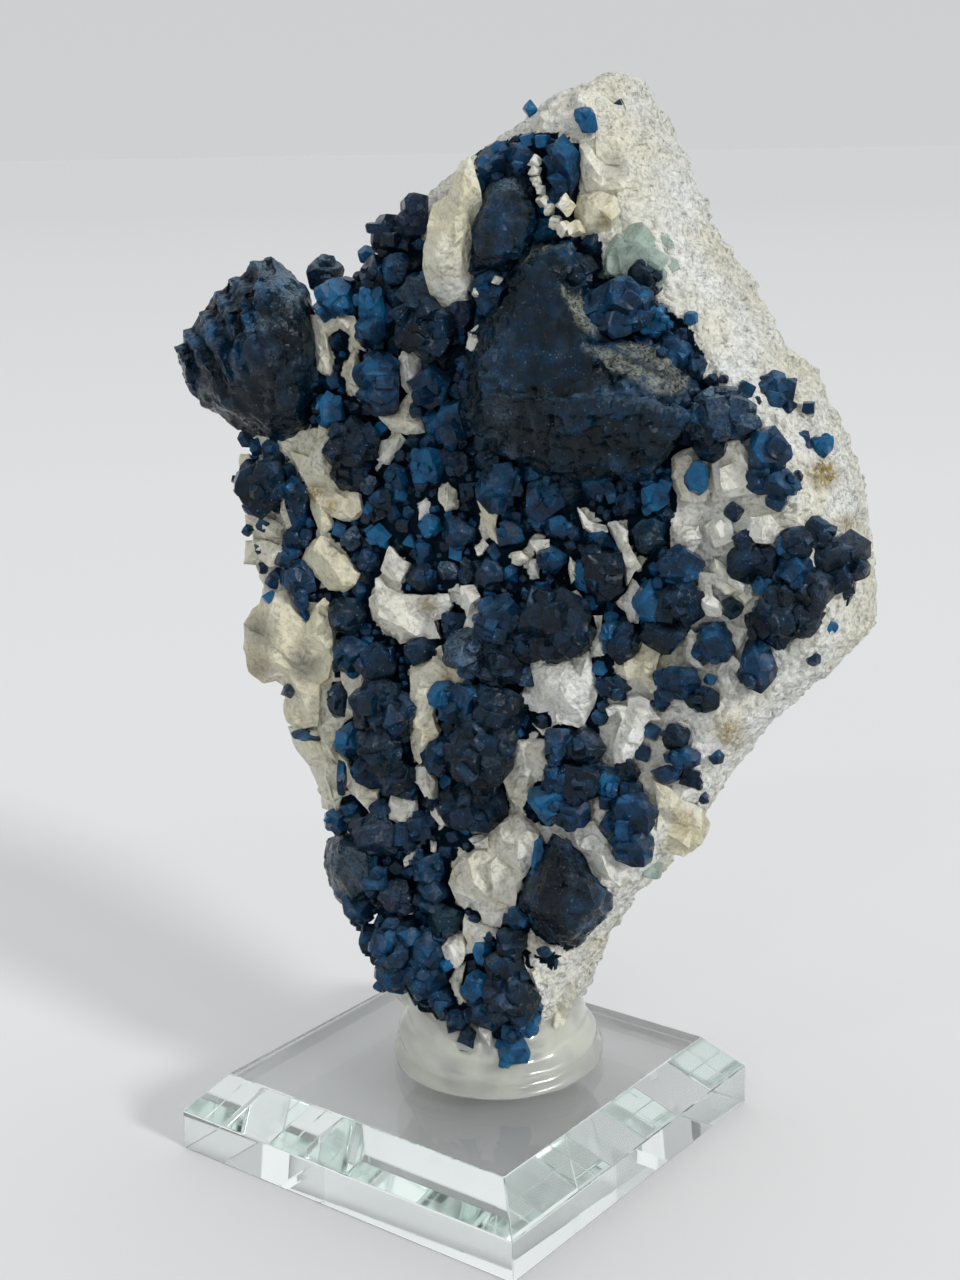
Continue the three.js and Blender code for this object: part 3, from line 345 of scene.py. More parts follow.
def from_line(places: np.ndarray, start: np.ndarray, end: np.ndarray) -> tuple[np.ndarray, np.ndarray]:
    """Measures places against a straight line.

    Args:
        places: Rows of (u, z).
        start: The line's start.
        end: The line's end.

    Returns:
        How far along the line each place is, from 0 to 1, and its distance from the line.
    """
    side = end - start
    along = np.clip((places - start) @ side / (side @ side), 0.0, 1.0)
    gap = places - start - along[:, None] * side
    return along, np.hypot(gap[:, 0], gap[:, 1])


def spots(places: np.ndarray, rows: Sequence[Sequence[float]], edge: float) -> np.ndarray:
    """How much each place is covered by soft round spots.

    Args:
        places: Rows of (u, z).
        rows: The spots, as place, radius and, where it isn't 1, strength.
        edge: The distance in radii at which a spot ends.

    Returns:
        One cover for each place, 0 outside all spots.
    """
    cover = np.zeros(len(places))
    for u, z, radius, *strength in rows:
        reach = np.hypot(places[:, 0] - u, places[:, 1] - z) / radius
        cover = np.maximum(cover, sum(strength or [1.0]) * np.clip(edge - reach, 0.0, 1.0))
    return cover


class Region:
    """A closed outline that can be asked about many places at once."""

    def __init__(self, outline: Outline) -> None:
        """Keeps the outline's corners.

        Args:
            outline: Corners as (u, z), in order.
        """
        self.corners = np.array(outline, float)
        self.ends = np.roll(self.corners, -1, axis=0)

    def holds(self, places: np.ndarray) -> np.ndarray:
        """Tells which places are inside.

        Args:
            places: Rows of (u, z).

        Returns:
            One truth value for each place.
        """
        inside = np.zeros(len(places), bool)
        for (u1, z1), (u2, z2) in zip(self.corners, self.ends):
            if z1 != z2:
                crosses = (z1 > places[:, 1]) != (z2 > places[:, 1])
                inside ^= crosses & (places[:, 0] < u1 + (places[:, 1] - z1) * (u2 - u1) / (z2 - z1))
        return inside

    def depth(self, places: np.ndarray) -> np.ndarray:
        """Distance to the outline, above zero inside and below zero outside."""
        gaps = [from_line(places, start, end)[1] for start, end in zip(self.corners, self.ends)]
        return np.where(self.holds(places), 1.0, -1.0) * np.min(gaps, axis=0)

    def samples(self, chance: random.Random, count: int) -> np.ndarray:
        """Random places in the box round the outline, as rows of (u, z)."""
        low, high = self.corners.min(axis=0), self.corners.max(axis=0)
        return np.array([[chance.uniform(low[i], high[i]) for i in (0, 1)] for _ in range(count)])

    def deepest(self, chance: random.Random, count: int) -> list[tuple[Place, float]]:
        """Random places with their depths, the deepest first."""
        places = self.samples(chance, count)
        return sorted(zip(places.tolist(), self.depth(places)), key=lambda item: -item[1])


def deselect_all() -> None:
    """Leaves nothing selected, so that the next operator acts on its own object only."""
    if bpy.context.object is not None and bpy.context.object.mode != "OBJECT":
        bpy.ops.object.mode_set(mode="OBJECT")
    bpy.ops.object.select_all(action="DESELECT")


def pick(piece: bpy.types.Object) -> None:
    """Makes one object the only selected and the active one.

    Args:
        piece: The object.
    """
    deselect_all()
    piece.select_set(True)
    bpy.context.view_layer.objects.active = piece


@contextmanager
def editing(piece: bpy.types.Object) -> Iterator[None]:
    """Opens one object in edit mode with all of it selected, and closes it afterwards.

    Args:
        piece: The object to edit.

    Yields:
        Nothing: operators act on the object meanwhile.
    """
    pick(piece)
    bpy.ops.object.mode_set(mode="EDIT")
    bpy.ops.mesh.select_all(action="SELECT")
    yield
    bpy.ops.object.mode_set(mode="OBJECT")


def face_outwards() -> None:
    """Turns every face of the mesh in edit mode outwards."""
    bpy.ops.mesh.select_all(action="SELECT")
    bpy.ops.mesh.normals_make_consistent(inside=False)


def new_mesh(name: str, points: Sequence[Sequence[float]], faces: Sequence[Sequence[int]] = ()) -> bpy.types.Object:
    """Adds an object from points and faces.

    Args:
        name: The object's name.
        points: Its vertices.
        faces: Its faces, each a list of vertex numbers.

    Returns:
        The new object.
    """
    mesh = bpy.data.meshes.new(name)
    mesh.from_pydata([tuple(p) for p in points], [], [tuple(f) for f in faces])
    mesh.update()
    piece = bpy.data.objects.new(name, mesh)
    bpy.context.scene.collection.objects.link(piece)
    return piece


def apply_modifier(piece: bpy.types.Object, kind: str, **settings: object) -> None:
    """Adds a modifier with settings and applies it.

    Args:
        piece: The object to change.
        kind: The modifier's type.
        **settings: Its settings by name.
    """
    pick(piece)
    modifier = piece.modifiers.new(kind.title(), kind)
    for name, value in settings.items():
        setattr(modifier, name, value)
    bpy.ops.object.modifier_apply(modifier=modifier.name)


def join_all(pieces: Sequence[bpy.types.Object], name: str) -> bpy.types.Object:
    """Joins objects in one.

    Args:
        pieces: The objects, which all go into the first.
        name: The joined object's name.

    Returns:
        The joined object.
    """
    deselect_all()
    for piece in pieces:
        piece.select_set(True)
    bpy.context.view_layer.objects.active = pieces[0]
    bpy.ops.object.join()
    pieces[0].name = name
    return pieces[0]


def read_rows(items: bpy.types.bpy_prop_collection, name: str) -> np.ndarray:
    """Reads a vector of every item of a mesh.

    Args:
        items: The mesh's vertices or normals.
        name: The vector's name.

    Returns:
        Rows of three numbers.
    """
    values = np.empty(len(items) * 3, np.float32)
    items.foreach_get(name, values)
    return values.reshape(-1, 3).astype(float)


def vertices_of(piece: bpy.types.Object) -> np.ndarray:
    """The vertices of a mesh as rows of three numbers."""
    return read_rows(piece.data.vertices, "co")


def normals_of(piece: bpy.types.Object) -> np.ndarray:
    """The vertex normals of a mesh as rows of three numbers."""
    return read_rows(piece.data.vertex_normals, "vector")


def place_vertices(piece: bpy.types.Object, rows: np.ndarray) -> None:
    """Puts the vertices of a mesh at new places, given as rows of three numbers."""
    piece.data.vertices.foreach_set("co", rows.astype(np.float32).ravel())
    piece.data.update()


def move_out(piece: bpy.types.Object, offsets: np.ndarray) -> None:
    """Moves each vertex along its normal by its own offset."""
    place_vertices(piece, vertices_of(piece) + normals_of(piece) * offsets[:, None])


def paint(piece: bpy.types.Object, name: str, values: np.ndarray) -> None:
    """Writes a colour attribute on a mesh's vertices.

    Args:
        piece: The object to paint.
        name: The attribute's name.
        values: Rows of four numbers, or one row for the whole mesh.
    """
    mesh = piece.data
    layer = mesh.attributes.get(name) or mesh.attributes.new(name, "FLOAT_COLOR", "POINT")
    rows = np.broadcast_to(np.asarray(values, np.float32), (len(mesh.vertices), 4))
    layer.data.foreach_set("color", rows.ravel())


def fractal(points: np.ndarray, size: float, octaves: int = 3) -> np.ndarray:
    """Soft cloudy noise between about -1 and 1.

    Args:
        points: Rows of three numbers.
        size: The size of the largest clouds, in the points' unit.
        octaves: How many finer layers are added.

    Returns:
        One value for each point.
    """
    return np.array([noise.fractal(Vector(p) / size, 1.0, 2.0, octaves) for p in points])


def cells(points: np.ndarray, size: float) -> np.ndarray:
    """The distance to the nearest of many scattered seeds, as a share of the cell size.

    Args:
        points: Rows of three numbers.
        size: The cells' size.

    Returns:
        One value for each point, 0 at a seed.
    """
    return np.array([noise.voronoi(Vector(p) / size)[0][0] for p in points])


def chips(points: np.ndarray, size: float) -> np.ndarray:
    """The height of flat chips that each tilt their own way, as on chiselled stone.

    Args:
        points: Rows of three numbers.
        size: The chips' size, in the points' unit.

    Returns:
        One height for each point, between about -0.5 and 0.5.
    """
    heights = []
    for point in points:
        place = Vector(point) / size
        seed = noise.voronoi(place)[1][0]
        heights.append((place - seed).dot(noise.cell_vector(seed * 31.7) * 2.0 - Vector((1.0, 1.0, 1.0))))
    return np.array(heights)


class Pattern(Enum):
    """What a layer of relief looks like."""

    CLOUDS = "clouds"
    GRAINS = "grains"
    CHIPS = "chips"


@dataclass(frozen=True)
class Relief:
    """One layer of a broken surface: its pattern, how large it is and how far it lifts, in millimetres."""

    pattern: Pattern
    size: float
    height: float
    octaves: int = 2

    def over(self, points: np.ndarray) -> np.ndarray:
        """Works out the layer.

        Args:
            points: Rows of three numbers.

        Returns:
            One lift for each point.
        """
        if self.pattern is Pattern.CLOUDS:
            return self.height * fractal(points, self.size, self.octaves)
        if self.pattern is Pattern.GRAINS:
            return self.height * (0.5 - cells(points, self.size))
        return self.height * chips(points, self.size)


class Nodes:
    """A node tree, with short calls that add to it."""

    def __init__(self, tree: bpy.types.NodeTree) -> None:
        """Keeps the tree."""
        self.tree = tree

    def add(self, kind: str, **settings: object) -> bpy.types.Node:
        """Adds a node.

        Args:
            kind: The node's type, without its usual start.
            **settings: Its properties by name.

        Returns:
            The node.
        """
        node = self.tree.nodes.new("ShaderNode" + kind)
        for name, value in settings.items():
            setattr(node, name, value)
        return node

    def put(self, socket: bpy.types.NodeSocket, value: object) -> None:
        """Fills one input socket.

        Args:
            socket: The input.
            value: A value to set, or an output socket to join to it.
        """
        if isinstance(value, bpy.types.NodeSocket):
            self.tree.links.new(value, socket)
        else:
            socket.default_value = value

    def feed(self, node: bpy.types.Node, **values: object) -> None:
        """Fills a node's inputs by name, with underscores for spaces."""
        for name, value in values.items():
            self.put(node.inputs[name.replace("_", " ")], value)

    def math(self, operation: str, first: object, second: object = 0.0, clamp: bool = False) -> bpy.types.NodeSocket:
        """Works out one value from two.

        Args:
            operation: The operation's name.
            first: A number or a socket.
            second: A number or a socket.
            clamp: Whether the result stays from 0 to 1.

        Returns:
            The socket with the result.
        """
        node = self.add("Math", operation=operation, use_clamp=clamp)
        self.put(node.inputs[0], first)
        self.put(node.inputs[1], second)
        return node.outputs[0]

    def times(self, first: object, second: object, clamp: bool = False) -> bpy.types.NodeSocket:
        """The product of two values."""
        return self.math("MULTIPLY", first, second, clamp)

    def plus(self, first: object, second: object, clamp: bool = False) -> bpy.types.NodeSocket:
        """The sum of two values."""
        return self.math("ADD", first, second, clamp)

    def vector(self, operation: str, first: object, second: object = None) -> bpy.types.Node:
        """Works out one vector or value from vectors.

        Args:
            operation: The operation's name.
            first: A vector or a socket.
            second: The factor of a SCALE, another operation's second vector, or nothing.

        Returns:
            The node.
        """
        node = self.add("VectorMath", operation=operation)
        self.put(node.inputs[0], first)
        if second is not None:
            self.put(node.inputs["Scale" if operation == "SCALE" else 1], second)
        return node

    def spread(self, value: bpy.types.NodeSocket, low: float, high: float, to_low: float = 0.0,
               to_high: float = 1.0) -> bpy.types.NodeSocket:
        """Stretches a span of values to another, and clamps it.

        Args:
            value: The value's socket.
            low: The value that becomes to_low.
            high: The value that becomes to_high.
            to_low: The result's start.
            to_high: The result's end.

        Returns:
            The socket with the result.
        """
        node = self.add("MapRange")
        self.feed(node, Value=value, From_Min=low, From_Max=high, To_Min=to_low, To_Max=to_high)
        return node.outputs["Result"]

    def mix(self, share: object, first: object, second: object) -> bpy.types.NodeSocket:
        """Mixes two colours.

        Args:
            share: How much of the second there is, a number or a socket.
            first: A colour or a socket.
            second: A colour or a socket.

        Returns:
            The socket with the mixed colour.
        """
        node = self.add("Mix", data_type="RGBA")
        factor, first_colour, second_colour = node.inputs[0], node.inputs[6], node.inputs[7]
        self.put(factor, share)
        self.put(first_colour, (*first, 1.0) if isinstance(first, tuple) else first)
        self.put(second_colour, (*second, 1.0) if isinstance(second, tuple) else second)
        return node.outputs[2]

    def ramp(self, value: bpy.types.NodeSocket, stops: Sequence[tuple[float, Colour]]) -> bpy.types.NodeSocket:
        """A colour that changes with a value.

        Args:
            value: The value's socket.
            stops: Places from 0 to 1 with their colours.

        Returns:
            The socket with the colour.
        """
        node = self.add("ValToRGB")
        self.put(node.inputs["Fac"], value)
        elements = node.color_ramp.elements
        for element, (position, colour) in zip(elements, (stops[0], stops[-1])):
            element.position = position
            element.color = (*colour, 1.0)
        for position, colour in stops[1:-1]:
            elements.new(position).color = (*colour, 1.0)
        return node.outputs["Color"]


class Sheet(Nodes):
    """One material round a principled shader. Its patterns lie in Object coordinates, in millimetres."""

    def __init__(self, name: str) -> None:
        """Starts a material.

        Args:
            name: The material's name.
        """
        self.material = bpy.data.materials.new(name)
        self.material.use_nodes = True
        super().__init__(self.material.node_tree)
        self.tree.nodes.clear()
        self.output = self.add("OutputMaterial")
        self.shader = self.add("BsdfPrincipled")
        self.feed(self.output, Surface=self.shader.outputs["BSDF"])
        place = self.add("TexCoord").outputs["Object"]
        self.place = self.vector("SCALE", place, 1.0 / MM).outputs["Vector"]
        self.normal = self.add("NewGeometry").outputs["Normal"]

    def set(self, **values: object) -> None:
        """Sets the shader's sockets by name, with underscores for spaces."""
        self.feed(self.shader, **values)

    def noise(self, size: float, detail: float = 3.0, rough: float = 0.55) -> bpy.types.NodeSocket:
        """Cloudy noise from 0 to 1.

        Args:
            size: The size of its clouds, in millimetres.
            detail: How many finer layers it has.
            rough: How strong the finer layers are.

        Returns:
            The socket with its value.
        """
        node = self.add("TexNoise")
        self.feed(node, Vector=self.place, Scale=1.0 / size, Detail=detail, Roughness=rough)
        return node.outputs["Fac"]

    def cells(self, size: float) -> bpy.types.Node:
        """Cells of scattered seeds.

        Args:
            size: The size of a cell, in millimetres.

        Returns:
            The node.
        """
        node = self.add("TexVoronoi")
        self.feed(node, Vector=self.place, Scale=1.0 / size)
        return node

    def attribute(self, name: str) -> tuple[bpy.types.NodeSocket, ...]:
        """Reads a painted attribute.

        Args:
            name: The attribute's name.

        Returns:
            Four sockets, its three colours and its alpha.
        """
        node = self.add("Attribute", attribute_name=name)
        parts = self.add("SeparateColor")
        self.feed(parts, Color=node.outputs["Color"])
        return (*parts.outputs[:3], node.outputs["Alpha"])

    def facing_up(self) -> bpy.types.NodeSocket:
        """Measures how much the surface faces up.

        Returns:
            The socket with a value from -1 to 1.
        """
        parts = self.add("SeparateXYZ")
        self.feed(parts, Vector=self.normal)
        return parts.outputs["Z"]

    def bump(self, height: bpy.types.NodeSocket, deep: float, normal: object = None) -> bpy.types.NodeSocket:
        """Raises the surface by a height.

        Args:
            height: The socket with the height, from 0 to 1.
            deep: What a height of 1 is, in millimetres.
            normal: A normal to start from, or nothing.

        Returns:
            The socket with the new normal.
        """
        node = self.add("Bump")
        self.feed(node, Distance=deep * MM, Height=height)
        if normal is not None:
            self.feed(node, Normal=normal)
        return node.outputs["Normal"]

    def facets(self, size: float, tilt: object) -> bpy.types.NodeSocket:
        """Tilts the surface a little in each of many small cells, as tiny crystal faces do.

        Args:
            size: The cells' size, in millimetres.
            tilt: How far the cells tilt, a number or a socket.

        Returns:
            The socket with the new normal.
        """
        centred = self.vector("SUBTRACT", self.cells(size).outputs["Color"], (0.5, 0.5, 0.5)).outputs["Vector"]
        scaled = self.vector("SCALE", centred, tilt).outputs["Vector"]
        tilted = self.vector("ADD", self.normal, scaled).outputs["Vector"]
        return self.vector("NORMALIZE", tilted).outputs["Vector"]

    def dress(self, piece: bpy.types.Object) -> None:
        """Puts the material on a piece in place of any other."""
        piece.data.materials.clear()
        piece.data.materials.append(self.material)


@dataclass(frozen=True)
class BlueFinish:
    """Deep blue crystal: nearly black and glassy, brighter in places, frosted or dusty here and there; painted
    lighter on tops and up-facing faces, with painted shade at feet and in hollows, painted sheen and glints.
    """

    deepest: Colour = (0.0004, 0.0042, 0.0090)
    dark: Colour = (0.0006, 0.0110, 0.0275)
    middle: Colour = (0.0012, 0.026, 0.070)
    bright: Colour = (0.005, 0.095, 0.225)
    purple: Colour = (0.005, 0.011, 0.032)
    teal: Colour = (0.002, 0.018, 0.023)
    # Grey frost colour: real frosting, and a painted sheen of overhead light on up-facing faces.
    frost: Colour = (0.10, 0.15, 0.19)
    dust: Colour = (0.25, 0.265, 0.22)
    # Painted glints: a pale colour for tiny reflections.
    painted_glint_colour: Colour = (0.20, 0.28, 0.34)
    facet_size: float = 0.9
    facet_tilt: float = 0.75

    def sheet(self) -> Sheet:
        """Builds the material.

        Returns:
            The material's sheet.
        """
        sheet = Sheet("blue_crystal")
        tone, frost, hue, lift = sheet.attribute("cast")
        dust = sheet.attribute("dust")[0]
        clouds = sheet.noise(2.2, 4.0, 0.6)
        grain = sheet.noise(0.35, 3.0, 0.7)
        level = sheet.plus(tone, sheet.spread(clouds, 0.34, 0.66, -0.28, 0.28))
        # Painted shade and light: darker where lift is low, at crystal feet and in etched hollows, and lighter on
        # crystal tops and outer sides.
        level = sheet.plus(level, sheet.spread(lift, 0.0, 1.0, -0.22, 0.16))
        # Painted light: faces that look up are made lighter.
        level = sheet.plus(level, sheet.spread(sheet.facing_up(), -0.2, 0.9, -0.05, 0.16), clamp=True)
        colour = sheet.ramp(level, [
            (0.0, self.deepest), (0.3, self.dark), (0.6, self.middle), (1.0, self.bright),
        ])
        colour = sheet.mix(sheet.spread(hue, 0.45, 0.0, 0.0, 0.75), colour, self.purple)
        colour = sheet.mix(sheet.spread(hue, 0.55, 1.0, 0.0, 0.75), colour, self.teal)
        # Frost: real frosting laid thicker on up-facing faces, plus a painted sheen of overhead light where faces
        # look up.
        up = sheet.spread(sheet.facing_up(), 0.1, 0.85)
        crust = sheet.times(frost, sheet.spread(grain, 0.36, 0.62))
        crust = sheet.times(crust, sheet.plus(0.35, up), clamp=True)
        # Painted highlight: a pale sheen on faces that look up.
        top = sheet.times(sheet.spread(sheet.facing_up(), 0.55, 0.95), sheet.spread(clouds, 0.4, 0.6))
        crust = sheet.plus(crust, sheet.times(top, 0.3), clamp=True)
        colour = sheet.mix(crust, colour, self.frost)
        dusty = sheet.times(dust, sheet.spread(grain, 0.36, 0.58), clamp=True)
        colour = sheet.mix(dusty, colour, self.dust)
        # Painted glints: pale specks where fine noise passes a threshold.
        painted_glints = sheet.spread(sheet.noise(0.3, 1.0), 0.68, 0.76)
        painted_glints = sheet.times(painted_glints, sheet.spread(clouds, 0.45, 0.6))
        colour = sheet.mix(sheet.times(painted_glints, 0.55), colour, self.painted_glint_colour)
        sheet.set(Base_Color=colour, IOR=1.45, Specular_IOR_Level=0.24)
        rough = sheet.plus(sheet.spread(grain, 0.3, 0.7, 0.03, 0.12), sheet.times(crust, 0.4))
        sheet.set(Roughness=sheet.plus(rough, sheet.times(dusty, 0.5), clamp=True))
        tilt = sheet.spread(sheet.noise(1.8, 2.0), 0.4, 0.6, 0.2, self.facet_tilt)
        sheet.set(Normal=sheet.bump(grain, 0.09, sheet.facets(self.facet_size, tilt)))
        return sheet


@dataclass(frozen=True)
class RockFinish:
    """The pale matrix: chalky white to cream crystal, stained here and there, granular where broken; painted grey
    shade in the hollows of its bumps, and near-black navy round the crystals' feet for the blue crust and the shade
    in the gaps.
    """

    white: Colour = (0.82, 0.83, 0.80)
    cream: Colour = (0.74, 0.70, 0.52)
    # Painted shade: grey between the grains, in the hollows of the bump.
    grain_gap_shade_colour: Colour = (0.42, 0.43, 0.40)
    brown: Colour = (0.33, 0.25, 0.09)
    smoke: Colour = (0.30, 0.29, 0.24)
    # Painted shade: grey in the hollows of the bump on front faces.
    hollow_shade_colour: Colour = (0.46, 0.45, 0.38)
    # Near-black navy round the crystals' feet: the blue crust, and painted shade in the gaps between crystals.
    crust: Colour = (0.001, 0.007, 0.0155)

    def sheet(self) -> Sheet:
        """Builds the material.

        Returns:
            The material's sheet.
        """
        sheet = Sheet("matrix_rock")
        warm, broken, crust_and_gap_shade, _ = sheet.attribute("ground")
        brown, smoke, _, _ = sheet.attribute("stain")
        clouds = sheet.noise(7.0, 4.0, 0.6)
        grain = sheet.noise(0.5, 4.0, 0.7)
        granules = sheet.cells(0.85).outputs["Distance"]
        pits = sheet.noise(1.5, 4.0, 0.75)
        creamy = sheet.plus(warm, sheet.spread(clouds, 0.35, 0.65, -0.3, 0.3), clamp=True)
        colour = sheet.mix(creamy, self.white, self.cream)
        # Painted shade: grey where both bump patterns dip, mostly on broken faces.
        grain_gap_shade = sheet.times(sheet.spread(pits, 0.56, 0.4), sheet.spread(grain, 0.62, 0.42))
        grain_gap_shade = sheet.times(grain_gap_shade, sheet.spread(broken, 0.0, 1.0, 0.15, 0.9))
        colour = sheet.mix(grain_gap_shade, colour, self.grain_gap_shade_colour)
        # Painted shade: grey in the bump's hollows, mostly on front faces.
        hollow_shade = sheet.times(sheet.spread(pits, 0.52, 0.36), sheet.spread(grain, 0.56, 0.44))
        hollow_shade = sheet.times(hollow_shade, sheet.spread(broken, 0.0, 0.5, 0.75, 0.0))
        colour = sheet.mix(hollow_shade, colour, self.hollow_shade_colour)
        colour = sheet.mix(sheet.times(brown, sheet.spread(grain, 0.3, 0.6)), colour, self.brown)
        colour = sheet.mix(sheet.times(smoke, 0.8), colour, self.smoke)
        # Blue crust and painted gap shade round the crystals' feet.
        cover = sheet.spread(sheet.plus(crust_and_gap_shade, sheet.spread(grain, 0.3, 0.7, -0.2, 0.2)), 0.4, 0.6)
        colour = sheet.mix(cover, colour, self.crust)
        sheet.set(Base_Color=colour, IOR=1.5, Specular_IOR_Level=0.06, Subsurface_Scale=0.0007)
        sheet.set(Subsurface_Weight=sheet.spread(cover, 0.0, 1.0, 0.1, 0.0))
        sheet.set(Subsurface_Radius=(1.0, 0.95, 0.8))
        sheet.set(Roughness=sheet.spread(grain, 0.3, 0.7, 0.45, 0.75))
        coarse = sheet.plus(sheet.math("SUBTRACT", 1.0, granules), pits)
        tilted = sheet.facets(1.7, sheet.spread(broken, 0.0, 0.5, 0.6, 0.3))
        first = sheet.bump(sheet.times(coarse, sheet.spread(broken, 0.0, 1.0, 0.3, 1.0)), 1.0, tilted)
        sheet.set(Normal=sheet.bump(grain, 0.3, first))
        return sheet


@dataclass(frozen=True)
class GreenFinish:
    """Pale green crystal that lets light through."""

    tint: Colour = (0.62, 0.78, 0.70)
    murk: Colour = (0.50, 0.62, 0.56)

    def sheet(self) -> Sheet:
        """Builds the material.

        Returns:
            The material's sheet.
        """
        sheet = Sheet("green_crystal")
        clouds = sheet.noise(1.6, 3.0)
        sheet.set(Base_Color=sheet.mix(sheet.spread(clouds, 0.35, 0.65), self.tint, self.murk), IOR=1.45)
        sheet.set(Transmission_Weight=sheet.spread(clouds, 0.4, 0.7, 0.75, 0.35), Roughness=0.22)
        sheet.set(Normal=sheet.bump(sheet.noise(0.4), 0.1, sheet.facets(1.2, 0.35)))
        return sheet


@dataclass(frozen=True)
class GlassFinish:
    """Polished plate glass, faintly green in its depth, with a few smudges."""

    depth_tint: Colour = (0.84, 0.95, 0.91)
    density: float = 7.0

    def sheet(self) -> Sheet:
        """Builds the material.

        Returns:
            The material's sheet.
        """
        sheet = Sheet("plate_glass")
        sheet.set(Base_Color=(1.0, 1.0, 1.0, 1.0), Transmission_Weight=1.0, IOR=1.5)
        sheet.set(Roughness=sheet.spread(sheet.noise(9.0, 4.0), 0.45, 0.8, 0.0, 0.06))
        absorb = sheet.add("VolumeAbsorption")
        sheet.feed(absorb, Color=(*self.depth_tint, 1.0), Density=self.density)
        sheet.feed(sheet.output, Volume=absorb.outputs["Volume"])
        return sheet


@dataclass(frozen=True)
class PuttyFinish:
    """Milky putty gel: glossy, soft and slightly see-through."""

    milk: Colour = (0.84, 0.87, 0.80)
    thick: Colour = (0.80, 0.81, 0.70)

    def sheet(self) -> Sheet:
        """Builds the material.

        Returns:
            The material's sheet.
        """
        sheet = Sheet("mounting_putty")
        clouds = sheet.noise(6.0, 3.0)
        sheet.set(Base_Color=sheet.mix(sheet.spread(clouds, 0.4, 0.65), self.milk, self.thick), IOR=1.42)
        sheet.set(Subsurface_Weight=0.85, Subsurface_Scale=0.004, Subsurface_Radius=(1.0, 1.0, 0.85))
        sheet.set(Transmission_Weight=sheet.spread(clouds, 0.35, 0.6, 0.75, 0.5))
        sheet.set(Roughness=0.3, Coat_Weight=0.9, Coat_Roughness=0.05)
        sheet.set(Normal=sheet.bump(sheet.noise(4.5, 1.0), 0.3))
        return sheet


@dataclass(frozen=True)
class FloorFinish:
    """A plain pale table top with a painted fall of light: lighter near the specimen, darker far away."""

    near: Colour = (0.73, 0.735, 0.74)
    far: Colour = (0.643, 0.651, 0.656)
    near_reach: float = 500.0
    far_reach: float = 3800.0
    bend: float = 0.6

    def sheet(self) -> Sheet:
        """Builds the material.

        Returns:
            The material's sheet.
        """
        sheet = Sheet("pale_floor")
        reach = sheet.vector("LENGTH", sheet.place).outputs["Value"]
        # Painted light falloff: the floor darkens with distance from the specimen.
        away = sheet.math("POWER", sheet.spread(reach, self.near_reach, self.far_reach), self.bend)
        sheet.set(Base_Color=sheet.mix(away, self.near, self.far), Roughness=0.9, Specular_IOR_Level=0.0)
        return sheet


